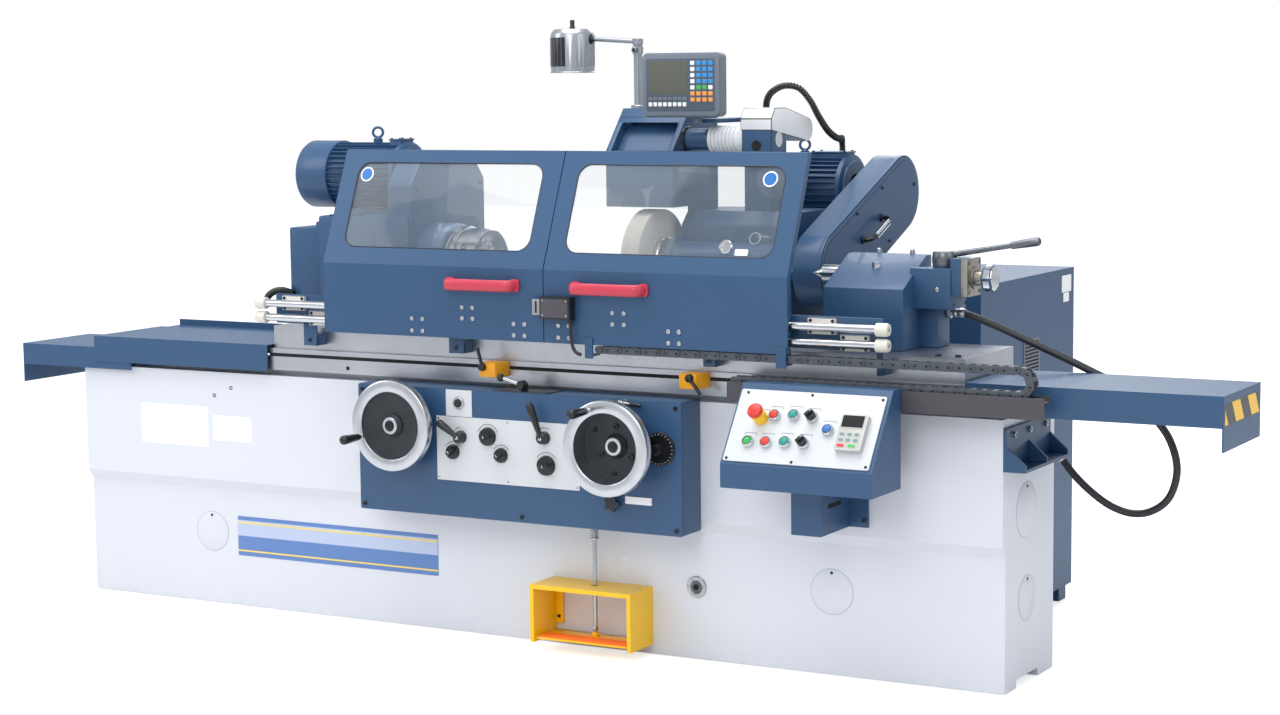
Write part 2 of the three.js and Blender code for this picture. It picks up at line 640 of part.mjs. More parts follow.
const buttonColours = {
  estop_button: 0xc8342e, red_button_upper: 0xb5352f, teal_button_upper: 0x1f8f86, blue_button: 0x2b6fb5,
  red_button_lower: 0xb5352f, teal_button_lower: 0x1f8f86,
};
pressed.forEach((name) => {
  const spot = spots[name];
  const stem = [-controls.stem, panelTop + controls.bezelRise + controls.buttonRise - controls.bezelRise / 2];
  const head = name === 'estop_button'
    ? [[stem[0], controls.button], [panelTop + controls.mushroomFrom, controls.button],
      [panelTop + controls.mushroomFrom, controls.mushroom],
      [panelTop + (controls.mushroomFrom + controls.mushroomTo) / 2, controls.mushroom],
      [panelTop + controls.mushroomTo, controls.mushroom / 2]]
    : [[stem[0], controls.button], [stem[1], controls.button]];
  place(name, turned('z', [...spot, 0], head, controls.sides), paint(buttonColours[name], 0.35), slope);
});
['selector_upper', 'selector_lower'].forEach((name) => {
  const spot = spots[name];
  const from = panelTop + controls.bezelRise + seat;
  const grip = slab([-controls.selector, controls.selector], [-controls.selectorGrip / 2,
      controls.selectorGrip / 2],
    [from, from + controls.selectorRise + controls.selectorGripRise]);
  grip.rotateZ(controls.gripTurn);
  place(name, join(rod('z', [from, from + controls.selectorRise], spot, controls.selector),
    grip.translate(...spot, 0)), paint(black, 0.35), slope);
});

// Electrical cabinet behind the bed, with a door on its right side
const cabinet = { left: 905, right: 1270, front: 284, back: 1031, bottom: 50, top: 1010, wall: 4, door: 18,
    foot: 60 };
function cabinetShell() {
  const shell = slab([cabinet.left, cabinet.right - cabinet.door - seat], [cabinet.front, cabinet.back],
    [cabinet.bottom, cabinet.top]);
  const hollow = slab([cabinet.left + cabinet.wall, cabinet.right + overrun],
    [cabinet.front + cabinet.wall, cabinet.back - cabinet.wall],
      [cabinet.bottom + cabinet.wall, cabinet.top - cabinet.wall]);
  const feet = [cabinet.left, cabinet.right - cabinet.door - seat - cabinet.foot].flatMap((x) => (
    [cabinet.front, cabinet.back - cabinet.foot].map((y) => (
      slab([x, x + cabinet.foot], [y, y + cabinet.foot], [0, cabinet.bottom + cabinet.wall])))));
  return join(cut(shell, hollow), ...feet);
}
place('cabinet_shell', cabinetShell(), paint(blue));
function cabinetDoor() {
  const outer = slab([cabinet.right - cabinet.door, cabinet.right], [cabinet.front, cabinet.back],
      [cabinet.bottom, cabinet.top]);
  const hollow = slab([cabinet.right - cabinet.door - overrun, cabinet.right - cabinet.wall],
    [cabinet.front + cabinet.wall, cabinet.back - cabinet.wall],
      [cabinet.bottom + cabinet.wall, cabinet.top - cabinet.wall]);
  return cut(outer, hollow);
}
place('cabinet_door', cabinetDoor(), paint(blue));

// Work table in two layers, both in the table's own group
function lowerTable() {
  const body = slab([table.left, table.right], [table.front, table.back], [table.bottom, table.top]);
  const slotTop = table.top - table.slotDrop;
  const slot = slab([table.left - overrun, table.right + overrun],
      [table.front - overrun, table.front + table.slotDepth],
    [slotTop - table.slotHeight, slotTop]);
  return cut(body, slot);
}
place('lower_table', lowerTable(), paint(0x9a9da1, 0.35, 0.6), tableGroup);
place('upper_table', slab([table.left + table.upperInset, table.right - table.upperInset],
  [table.upperFront, table.upperBack], [table.upperBottom, table.upperTop]), paint(0x9a9da1, 0.3, 0.6),
    tableGroup);

// Sliding way covers: channels of folded sheet that ride on the table's ends
const cover = {
  lap: 10, reach: 668, leftReach: 671, front: -225, back: 95, top: 810, frontBottom: 731, backBottom: 742,
      hang: 672,
  wall: 4, shelfLength: 416, shelfBack: 190, shelfThick: 4, shelfTop: 806, lipTop: 825,
  outerLap: 142, outerOverhang: 235, outerFront: 708, outerHang: 652, outerTop: 774,
};
function channel([x0, x1], [front, back], top, [frontBottom, backBottom], wall) {
  return prism('x', [x0, x1], [
    [front, frontBottom], [front + wall, frontBottom], [front + wall, top - wall], [back - wall, top - wall],
    [back - wall, backBottom], [back, backBottom], [back, top], [front, top],
  ]);
}
const coverLips = [cover.frontBottom, cover.backBottom];
// The roof and the front wall lap over the table's end; the back wall butts against it
function coverLap(span) {
  return [
    slab(span, [cover.front, cover.back], [cover.top - cover.wall, cover.top]),
    slab(span, [cover.front, cover.front + cover.wall], [cover.frontBottom, cover.top]),
  ];
}
function rightCover() {
  const rightSpan = [table.right + seat, table.right - cover.lap + cover.reach];
  return join(
    channel(rightSpan, [cover.front, cover.back], cover.top, coverLips, cover.wall),
    ...coverLap([table.right - cover.lap, table.right + overrun]),
    slab([rightSpan[1] - cover.wall, rightSpan[1]], [cover.front, cover.back], [cover.hang, cover.top]),
  );
}
function leftCover() {
  const leftSpan = [table.left + cover.lap - cover.leftReach, table.left - seat];
  const shelf = [leftSpan[0], leftSpan[0] + cover.shelfLength];
  return join(
    channel(leftSpan, [cover.front, cover.back], cover.top, coverLips, cover.wall),
    ...coverLap([table.left - overrun, table.left + cover.lap]),
    slab(shelf, [cover.back - cover.wall, cover.shelfBack], [cover.shelfTop - cover.shelfThick,
        cover.shelfTop]),
    slab(shelf, [cover.shelfBack - cover.shelfThick, cover.shelfBack],
        [cover.shelfTop - cover.shelfThick * 2, cover.lipTop]),
  );
}
place('right_cover', rightCover(), paint(blue), tableGroup);
place('left_cover', leftCover(), paint(blue), tableGroup);

function outerCover() {
  const left = bed.left - cover.outerOverhang;
  const front = cover.front + cover.wall + seat;
  const back = cover.back - cover.wall - seat;
  const leftCoverEnd = table.offset + table.left + cover.lap - cover.leftReach;
  const span = [left, leftCoverEnd + cover.outerLap];
  return join(
    channel(span, [front, back], cover.outerTop, [cover.outerFront, cover.backBottom], sheet),
    slab([left, left + sheet], [front, back], [cover.outerHang, cover.outerTop]),
  );
}
place('outer_cover_left', outerCover(), paint(blue));

// Splash guard rail: a backing plate on feet with two round rods that the doors run on
const rail = {
  left: -734, right: 1212, plateFront: -246, plateThick: 6, bottom: 881, top: 967, rodY: -275, rodRadius: 11,
  rodLeft: -750,
  upperZ: 941, lowerZ: 900, capRadius: 17.5, capLength: 31, capDeep: 3,
  supportWidth: 83, supportHeight: 44, supportThick: 9, supportWeb: 8,
  upperSupports: [-664, 1043], lowerSupports: [-567, 1137],
  feet: [[-636, -589], [-126, -76], [689, 725], [1195, 1212]], footBottom: 818, footTop: 849, footThick: 30,
};
function guardRail() {
  const x = (value) => value - table.offset;
  const plate = slab([x(rail.left), x(rail.right)], [rail.plateFront, rail.plateFront + rail.plateThick],
      [rail.bottom, rail.top]);
  const feet = rail.feet.flatMap(([x0, x1]) => [
    slab([x(x0), x(x1)], [rail.plateFront, table.upperFront - seat], [rail.footBottom, rail.footTop]),
    slab([x(x0), x(x1)], [rail.plateFront, rail.plateFront + rail.plateThick],
        [rail.footBottom, rail.bottom + overrun]),
  ]);
  const support = (middle, z) => join(
    slab([x(middle) - rail.supportWidth / 2, x(middle) + rail.supportWidth / 2],
      [rail.plateFront - rail.supportThick, rail.plateFront], [z - rail.supportHeight / 2,
        z + rail.supportHeight / 2]),
    slab([x(middle) - rail.supportWidth / 2, x(middle) + rail.supportWidth / 2],
      [rail.rodY + rail.rodRadius - sheet / 2, rail.plateFront],
        [z - rail.supportWeb / 2, z + rail.supportWeb / 2]),
  );
  const supports = [...rail.upperSupports.map((m) => support(m, rail.upperZ)),
      ...rail.lowerSupports.map((m) => support(m, rail.lowerZ))];
  const rods = [rail.upperZ, rail.lowerZ].map((z) => rod('x', [x(rail.rodLeft), x(rail.right)], [rail.rodY, z],
      rail.rodRadius));
  const caps = [rail.upperZ, rail.lowerZ].flatMap((z) => [
    rod('x', [x(rail.rodLeft) - rail.capLength, x(rail.rodLeft) + rail.capDeep], [rail.rodY, z],
      rail.capRadius),
    rod('x', [x(rail.right) - rail.capDeep, x(rail.right) + rail.capLength], [rail.rodY, z], rail.capRadius),
  ]);
  return join(plate, ...feet, ...supports, ...rods, ...caps);
}
place('guard_rail', guardRail(), paint(steel, 0.3, 0.7), tableGroup);

// Cable tray on the front of the table, with the lower run of the cable chain in it
const tray = {
  left: 790, right: 1672, front: -305, back: -255, wallBottom: 736, wallTop: 791, floor: 777, wall: 3,
      endGap: 4,
};
function cableTray() {
  const x = (value) => value - table.offset;
  return join(
    slab([x(tray.left), x(tray.right)], [tray.front, tray.front + tray.wall], [tray.wallBottom, tray.wallTop]),
    slab([x(tray.left), x(tray.right)], [tray.front, tray.back], [tray.floor, tray.floor + tray.wall]),
    slab([x(tray.left), x(tray.right)], [tray.back - tray.wall, tray.back], [tray.floor, tray.wallTop]),
    slab([x(tray.left), table.right - cover.lap - tray.endGap], [tray.back - tray.wall, table.front - seat],
      [tray.floor, tray.floor + tray.wall]),
  );
}
place('cable_tray', cableTray(), paint(0x4f4a4c, 0.45), tableGroup);

const chain = { y: [-296, -262], height: 25, upperLeft: 384, bendX: 1598, runTop: 867.4, lowerLeft: 800,
    bendSegments: 6 };
function cableChain() {
  const x = (value) => value - table.offset;
  const low = tray.floor + tray.wall + seat;
  const outer = (chain.runTop - low) / 2;
  const inner = outer - chain.height;
  const middle = low + outer;
  const shape = new THREE.Shape();
  shape.moveTo(x(chain.lowerLeft), low);
  shape.lineTo(x(chain.bendX), low);
  shape.absarc(x(chain.bendX), middle, outer, -Math.PI / 2, Math.PI / 2);
  shape.lineTo(x(chain.upperLeft), middle + outer);
  shape.lineTo(x(chain.upperLeft), middle + inner);
  shape.lineTo(x(chain.bendX), middle + inner);
  shape.absarc(x(chain.bendX), middle, inner, Math.PI / 2, -Math.PI / 2, true);
  shape.lineTo(x(chain.lowerLeft), middle - inner);
  return prism('y', chain.y, shape, chain.bendSegments);
}
place('cable_chain', cableChain(), paint(grey, 0.5), tableGroup);

// Doors of the splash guard: folded sheet, upright below and leaning back above, with a window
const door = {
  front: -300, bottom: 868, bend: 1069, top: 1388.5, topFront: -168.4, flange: 20,
  leftSpan: [-519, 222], rightSpan: [225, 966], windowLeft: [-462, 164], windowRight: [279, 912],
  windowLow: 1116, windowHigh: 1352, windowCorner: 40, paneBorder: 14, paneThick: 3,
  rodWay: 8.5, block: 36, blockHeight: 37, blockClear: 0.4, blockDepth: 37,
};
door.lean = Math.atan2(door.topFront - door.front, door.top - door.bend);
const leftBlocks = [[-195, rail.lowerZ], [-26, rail.upperZ], [145, rail.lowerZ]];
const rightBlocks = [[288, rail.lowerZ], [460, rail.upperZ], [630, rail.lowerZ]];

// The leaning part's own frame: x along the door, y up the slope, z out of the front
function onSlope(geometry) {
  const up = new THREE.Vector3(0, Math.sin(door.lean), Math.cos(door.lean));
  const out = new THREE.Vector3().crossVectors(axisOf.x, up);
  geometry.applyMatrix4(new THREE.Matrix4().makeBasis(axisOf.x, up, out));
  return geometry.translate(0, door.front, door.bend);
}
const upSlope = (z) => (z - door.bend) / Math.cos(door.lean);

function doorLine(depth) {
  return [
    [door.front + depth, door.bend - depth * Math.tan(door.lean / 2)],
    [door.topFront + depth / Math.cos(door.lean), door.top],
  ];
}
function doorSheet([x0, x1], [w0, w1], blocks) {
  const [bendAt, topAt] = doorLine(door.flange);
  const [bendIn, topIn] = doorLine(sheet);
  const drop = (topIn[1] - sheet - bendIn[1]) / (topIn[1] - bendIn[1]);
  const body = prism('x', [x0, x1], [
    [door.front, door.bottom], [door.front + door.flange, door.bottom], bendAt, topAt,
    [door.topFront, door.top], [door.front, door.bend],
  ]);
  const hollow = prism('x', [x0 + sheet, x1 - sheet], [
    [bendIn[0], door.bottom - overrun], [door.front + door.flange + overrun, door.bottom - overrun],
    [bendAt[0] + overrun, bendAt[1]], [topAt[0] + overrun, topIn[1] - sheet],
    [bendIn[0] + (topIn[0] - bendIn[0]) * drop, topIn[1] - sheet], bendIn,
  ]);
  const opening = onSlope(prism('z', [-overrun, overrun],
    roundedPlate([w0, w1], [upSlope(door.windowLow), upSlope(door.windowHigh)], door.windowCorner)));
  const bearings = blocks.map(([x, z]) => cut(
    slab([x - door.block / 2, x + door.block / 2], [door.front + sheet / 2,
        door.front + sheet / 2 + door.blockDepth],
      [z - door.blockHeight / 2, z + door.blockHeight / 2]),
    rod('x', [x - door.block, x + door.block], [rail.rodY, z], rail.rodRadius + door.blockClear),
  ));
  const rodWays = [rail.upperZ, rail.lowerZ].map((z) => (
    rod('x', [x0 - overrun, x1 + overrun], [rail.rodY, z], rail.rodRadius + door.rodWay)));
  return join(cut(body, hollow, opening, ...rodWays), ...bearings);
}
const chainHolder = { spans: [[356, 380], [934, 963]], bottom: 831, top: 887, shelf: 5, thick: 4,
    shelfBack: -262 };
const lockKey = { left: 196, low: 944, high: 990, depth: 16 };

function leftDoor() {
  const key = slab([lockKey.left, door.leftSpan[1]], [door.front - lockKey.depth, door.front + sheet / 2],
      [lockKey.low, lockKey.high]);
  return join(doorSheet(door.leftSpan, door.windowLeft, leftBlocks), key);
}
function rightDoor() {
  const shelfTop = chain.runTop - chain.height - seat;
  const holders = chainHolder.spans.flatMap((span) => [
    slab(span, [door.front - chainHolder.thick, door.front + overrun / 10],
        [chainHolder.bottom, chainHolder.top]),
    slab(span, [door.front - chainHolder.thick, chainHolder.shelfBack],
        [shelfTop - chainHolder.shelf, shelfTop]),
  ]);
  return join(doorSheet(door.rightSpan, door.windowRight, rightBlocks), ...holders);
}
function windowPane([w0, w1]) {
  return onSlope(prism('z', [-sheet - seat - door.paneThick, -sheet - seat], roundedPlate(
    [w0 - door.paneBorder, w1 + door.paneBorder],
    [upSlope(door.windowLow) - door.paneBorder, upSlope(door.windowHigh) + door.paneBorder],
    door.windowCorner + door.paneBorder)));
}
const handle = { length: 241, z: [1005, 1040], stand: 45, leg: 30, grip: 18, leftAt: -93, rightAt: 314 };
function doorHandle(left) {
  const back = door.front - seat;
  return cut(
    prism('z', handle.z, [
      [left + handle.leg / 3, back - handle.stand], [left + handle.length - handle.leg / 3,
        back - handle.stand],
      [left + handle.length, back - handle.stand + handle.leg / 3], [left + handle.length, back],
      [left, back], [left, back - handle.stand + handle.leg / 3],
    ]),
    slab([left + handle.leg, left + handle.length - handle.leg],
        [back - handle.stand + handle.grip, back + overrun],
      [handle.z[0] - overrun, handle.z[1] + overrun]),
  );
}
// Doors are drawn in the machine's own x and shifted into the table's group
const doors = new THREE.Group();
doors.position.x = -table.offset;
tableGroup.add(doors);
place('left_door', leftDoor(), paint(blue), doors);
place('right_door', rightDoor(), paint(blue), doors);
const glass = paint(0xc9d6dd, 0.1);
place('left_window', windowPane(door.windowLeft), glass, doors);
place('right_window', windowPane(door.windowRight), glass.clone(), doors);
place('left_door_handle', doorHandle(handle.leftAt), paint(0xcf4a5c, 0.35), doors);
place('right_door_handle', doorHandle(handle.rightAt), paint(0xcf4a5c, 0.35), doors);

// Interlock switch on the right door with its cable to the chain
const lock = {
  left: 228, right: 325, low: 936, high: 998, depth: 30, cable: 5, cableSides: 8, cableSteps: 12,
  cableRoute: [[318, 905], [322, 870], [334, 848], [350, 842]],
};
function interlockSwitch() {
  const back = door.front - seat;
  const body = slab([lock.left, lock.right], [back - lock.depth, back], [lock.low, lock.high]);
  const y = back - lock.depth / 2;
  const route = [[lock.cableRoute[0][0], lock.low + overrun], ...lock.cableRoute].map(([x, z]) => [x, y, z]);
  return join(body, tube(route, lock.cable, lock.cableSides, lock.cableSteps));
}
place('interlock_switch', interlockSwitch(), paint(0x2c2e31, 0.4), doors);

// Table dogs that clamp in the slot and trip the reversing lever
const dog = {
  left: -14, right: 38, chamfer: 16, bottom: 757, top: 799, front: -262, tongue: 8, tongueClear: 1,
  leverRadius: 5, leverY: -266, knobRadius: 11, knobLength: 14, standoff: 0.6,
};
const leftDog = { x: 0, knob: [-2, 786], tip: [-17, 839] };
const rightDog = { x: 637, knob: [20, 787], tip: [54, 744] };
function tableDog({ x: middle, knob: spot, tip }) {
  const x = middle - table.offset;
  const slotTop = table.top - table.slotDrop;
  const face = table.front - dog.standoff;
  return join(
    prism('z', [dog.bottom, dog.top], [
      [x + dog.left, dog.front], [x + dog.right, dog.front], [x + dog.right + dog.chamfer, face],
      [x + dog.left, face],
    ]),
    slab([x + dog.left, x + dog.right], [face - dog.tongueClear, table.front + dog.tongue],
      [slotTop - table.slotHeight + dog.tongueClear, slotTop - dog.tongueClear]),
    rod('y', [dog.front - dog.knobLength, dog.front + dog.leverRadius], [x + spot[0], spot[1]], dog.knobRadius),
    strut([x + spot[0], dog.leverY, spot[1]], [x + tip[0], dog.leverY, tip[1]], dog.leverRadius),
  );
}
place('dog_left', tableDog(leftDog), paint(0xf0a818, 0.45), tableGroup);
place('dog_right', tableDog(rightDog), paint(0xf0a818, 0.45), tableGroup);

// Workhead: a housing on the table with a belt housing beside it and the chuck in front
const head = {
  left: -675, right: -352, front: -110, back: 200, top: 1190, baseRight: -180, baseTop: 940, baseFront: -90,
      baseBack: 130,
  steps: [[-798, 1152], [-701, 1171]], stepFront: -90, stepBack: 170,
  beltLeft: -430, beltRight: -345, beltFront: -100, beltBack: 290, beltChin: 1281, beltTop: 1370,
  beltTopFront: -30, beltTopBack: 225, beltBackTop: 1290, beltBackLow: 1000,
  nose: 112, noseTo: -256, spindle: 60,
};
const chuck = {
  back: -234, face: -148, radius: 98, plate: 103, plateLength: 14, bore: 26, jaws: 3, jaw: 26, jawFrom: 34,
      jawTo: 84,
  jawProud: 16, groove: 4,
};
const ribbed = { radius: 11, ribs: 12, depth: 2.5 };
const headConduit = [
  [-780, -100, 952], [-800, -100, 958], [-824, -100, 962], [-850, -100, 958], [-872, -100, 946],
    [-886, -100, 928],
].map(([x, y, z]) => [x - table.offset, y, z]);
function workhead() {
  const x = (value) => value - table.offset;
  const bottom = table.upperTop + seat;
  const base = slab([x(head.left), x(head.baseRight)], [head.baseFront, head.baseBack], [bottom, head.baseTop]);
  const body = slab([x(head.left), x(head.right)], [head.front, head.back], [head.baseTop - overrun, head.top]);
  const steps = head.steps.map(([left, top]) => slab([x(left), x(head.left) + overrun],
      [head.stepFront, head.stepBack],
    [head.baseTop, top]));
  const belt = prism('x', [x(head.beltLeft), x(head.beltRight)], [
    [head.beltFront, head.baseTop], [head.back, head.baseTop], [head.beltBack, head.beltBackLow],
    [head.beltBack, head.beltBackTop], [head.beltTopBack, head.beltTop], [head.beltTopFront, head.beltTop],
    [head.beltFront, head.beltChin],
  ]);
  const nose = rod('x', [x(head.beltRight) - overrun, x(head.noseTo)], [table.workY, table.workZ], head.nose,
      fineSides);
  const spindle = rod('x', [x(head.noseTo) - overrun, x(chuck.back) - seat], [table.workY, table.workZ],
      head.spindle);
  const conduit = ribbedConduit(headConduit, ribbed.radius, ribbed.depth, ribbed.ribs);
  return join(base, body, ...steps, belt, nose, spindle, conduit);
}
place('headstock_body', workhead(), paint(blue), tableGroup);

// A finned motor with its fan cover, feet and lifting eye, lying along x
function finnedMotor(motor) {
  const { x0, x1, y, z, radius, fins, finDepth, capLength, floor } = motor;
  const core = radius - finDepth;
  const body = rod('x', [x0, x1], [y, z], core, fineSides);
  const fan = rod('x', [x0, x0 + capLength], [y, z], radius, fineSides);
  const finFrom = x0 + capLength;
  const blades = Array.from({ length: fins }, (_, k) => {
    const angle = 2 * Math.PI * (k + 0.5) / fins;
    const blade = slab([finFrom - finDepth, x1 - motor.endGap], [core - finDepth, radius - finDepth / 4],
      [-motor.finThick / 2, motor.finThick / 2]);
    return blade.rotateX(angle).translate(0, y, z);
  });
  const foot = slab([finFrom + motor.footInset, x1 - motor.footInset],
    [y - motor.footHalf, y + motor.footHalf],
    [floor, z - core * motor.footShare]);
  const stalk = rod('z', [z + core / 2, z + radius + motor.eyeStalk], [motor.eyeX, y], motor.eyeStalkRadius);
  const eye = new THREE.TorusGeometry(motor.eyeRadius, motor.eyeWire, 6,
      coarseSides).rotateX(Math.PI / 2).rotateZ(motor.eyeTurn);
  eye.translate(motor.eyeX, y, z + radius + motor.eyeStalk + motor.eyeRadius);
  const box = slab([motor.boxFrom, x1 - motor.endGap], [y - motor.boxHalf, y + motor.boxHalf],
      [z + core / 2, z + radius + motor.boxRise]);
  const shaft = rod('x', [x1 - overrun, x1 + motor.shaft], [y, z], motor.shaftRadius);
  return join(body, fan, ...blades, foot, stalk, eye, box, shaft);
}
const motorShared = {
  fins: 16, finDepth: 12, finThick: 5, endGap: 16, footInset: 24, footHalf: 62, footShare: 0.8, eyeStalk: 10,
  eyeStalkRadius: 12, eyeRadius: 15, eyeWire: 4, eyeTurn: Math.PI / 6, boxHalf: 34, boxRise: 6, shaftRadius: 14,
};
const workMotor = {
  ...motorShared, x0: -859 - table.offset, x1: -487 - table.offset, y: 115, z: 1304, radius: 102,
      capLength: 122,
  floor: head.top + seat, eyeX: -610 - table.offset, boxFrom: -545 - table.offset,
};
workMotor.shaft = head.beltLeft - table.offset - seat - workMotor.x1;
place('headstock_motor', finnedMotor(workMotor), paint(blue), tableGroup);

// Three-jaw chuck
function jawChuck() {
  const x = (value) => value - table.offset;
  const origin = [x(chuck.back), table.workY, table.workZ];
  const length = chuck.face - chuck.back;
  const body = turned('x', origin, [
    [0, chuck.plate], [chuck.plateLength, chuck.plate], [chuck.plateLength, chuck.radius - chuck.groove],
    [chuck.plateLength + chuck.groove, chuck.radius - chuck.groove],
      [chuck.plateLength + chuck.groove, chuck.radius],
    [length, chuck.radius],
  ]);
  const bore = rod('x', [x(chuck.face) - length / 2, x(chuck.face) + overrun], [table.workY, table.workZ],
      chuck.bore);
  const jaws = Array.from({ length: chuck.jaws }, (_, k) => (
    slab([x(chuck.face) - overrun, x(chuck.face) + chuck.jawProud], [chuck.jawFrom, chuck.jawTo],
        [-chuck.jaw / 2, chuck.jaw / 2])
      .rotateX(2 * Math.PI * k / chuck.jaws).translate(0, table.workY, table.workZ)));
  return join(cut(body, bore), ...jaws);
}
place('chuck', jawChuck(), paint(steel, 0.25, 0.9), tableGroup);

// Tailstock with its quill and retracting lever; their places along x are measured from the table's right end
const tail = {
  left: 466, right: 235, front: -100, back: 94, frontTop: 1030, top: 1110, topFront: 60, bore: 24,
  boxRight: 124, boxFront: -30, boxBack: 66, boxLow: 974, boxTop: 1082,
  footRight: 185, footFront: 20, footBack: 100, bossLeft: 132, flangeRight: 82, flangeFront: -30,
  flangeBack: 62, flangeLow: 1008, flangeTop: 1109, neckRadius: 21, neckRight: 58, knobRadius: 36, knobTo: 23,
  knobSides: 8,
  plugX: 356, plugY: 0, plugRadius: 13, plugRise: 22, cups: [382, 284], cupY: 78, cupRadius: 7, cupRise: 14,
  fitting: 13, fittingLength: 18, hoseY: 80, hoseZ: 957,
};
function tailstock() {
  const x = (inset) => table.right - inset;
  const bottom = table.upperTop + seat;
  const body = prism('x', [x(tail.left), x(tail.right)], [
    [tail.front, bottom], [tail.back, bottom], [tail.back, tail.top], [tail.topFront, tail.top],
      [tail.front, tail.frontTop],
  ]);
  const foot = slab([x(tail.right) - overrun, x(tail.footRight)], [tail.footFront, tail.footBack],
      [bottom, tail.boxLow + overrun]);
  const box = slab([x(tail.right) - overrun, x(tail.boxRight)], [tail.boxFront, tail.boxBack],
      [tail.boxLow, tail.boxTop]);
  const flangeSpan = [tail.flangeFront, tail.flangeBack];
  const boss = slab([x(tail.bossLeft), x(tail.flangeRight)], flangeSpan, [tail.flangeLow, tail.flangeTop]);
  const slope = (tail.top - tail.frontTop) / (tail.topFront - tail.front);
  const slopeZ = tail.frontTop + slope * (tail.plugY - tail.front);
  const plug = rod('z', [slopeZ - overrun * 2, slopeZ + tail.plugRise], [x(tail.plugX), tail.plugY],
      tail.plugRadius, smallSides);
  const cups = tail.cups.map((spot) => rod('z', [tail.top - overrun, tail.top + tail.cupRise],
      [x(spot), tail.cupY], tail.cupRadius, smallSides));
  const fitting = rod('x', [x(tail.footRight) - overrun, x(tail.footRight) + tail.fittingLength],
      [tail.hoseY, tail.hoseZ], tail.fitting);
  const bore = rod('x', [x(tail.left) - overrun, x(tail.right) - overrun], [table.workY, table.workZ],
      tail.bore + seat, fineSides);
  const neck = rod('x', [x(tail.flangeRight) - overrun, x(tail.neckRight) + overrun],
      [table.workY, table.workZ], tail.neckRadius);
  const knobBar = rod('x', [x(tail.neckRight), x(tail.knobTo)], [table.workY, table.workZ],
      tail.knobRadius, tail.knobSides);
  return join(cut(join(body, foot, box, boss, plug, ...cups, fitting), bore), neck, knobBar);
}
place('tailstock_body', tailstock(), paint(blue), tableGroup);

const quill = { right: 290, left: 520, tip: 552, cone: 12, radius: tail.bore };
place('tailstock_quill', turned('x', [table.right - quill.tip, table.workY, table.workZ], [
  [0, 0], [quill.tip - quill.left, quill.cone], [quill.tip - quill.left, quill.radius],
  [quill.tip - quill.right, quill.radius],
]), paint(steel, 0.25, 0.9), tableGroup);

const retract = { x: 168, y: 20, hub: 33, hubTop: 1124, arm: 7, armFrom: 1112.5, tip: [-98, 1157], grip: 12,
    gripFrom: -18 };
function retractLever() {
  const x = (inset) => table.right - inset;
  const share = (retract.gripFrom - retract.x) / (retract.tip[0] - retract.x);
  const gripZ = retract.armFrom + share * (retract.tip[1] - retract.armFrom);
  return join(
    rod('z', [tail.boxTop + seat, retract.hubTop], [x(retract.x), retract.y], retract.hub),
    strut([x(retract.x), retract.y, retract.armFrom], [x(retract.tip[0]), retract.y, retract.tip[1]],
        retract.arm),
    strut([x(retract.gripFrom), retract.y, gripZ], [x(retract.tip[0]), retract.y, retract.tip[1]],
        retract.grip),
  );
}
place('tailstock_lever', retractLever(), paint(0x4a4c50, 0.35, 0.5), tableGroup);

// Wheelhead: saddle and housing in one casting, with the hood over the wheel
const hood = {
  left: 142, right: 364, frontLow: 190, low: 1215, backY: 470, top: 1498, topFront: 295, bendZ: 1377,
};
// Corrugated conduit from the riser over the swing arm to the terminal box of the wheel motor
const headLead = { radius: 10, depth: 2.4, ribs: 28 };
const conduitRoute = [
  [560, 402, 1466], [560, 398, 1492], [576, 374, 1522], [610, 345, 1546], [650, 335, 1560], [690, 342, 1554],
  [716, 362, 1520], [728, 392, 1476], [732, 440, 1436], [726, 500, 1414], [710, 570, 1404], [686, 640, 1402],
  [660, 700, 1400], [648, 728, 1390], [647, 733, 1376], [647, 733, 1362],
];
const riser = { x: [512, 600], y: [350, 450], top: 1472, barX: [470, 512], barY: [150, 450],
    barZ: [1458, 1470] };
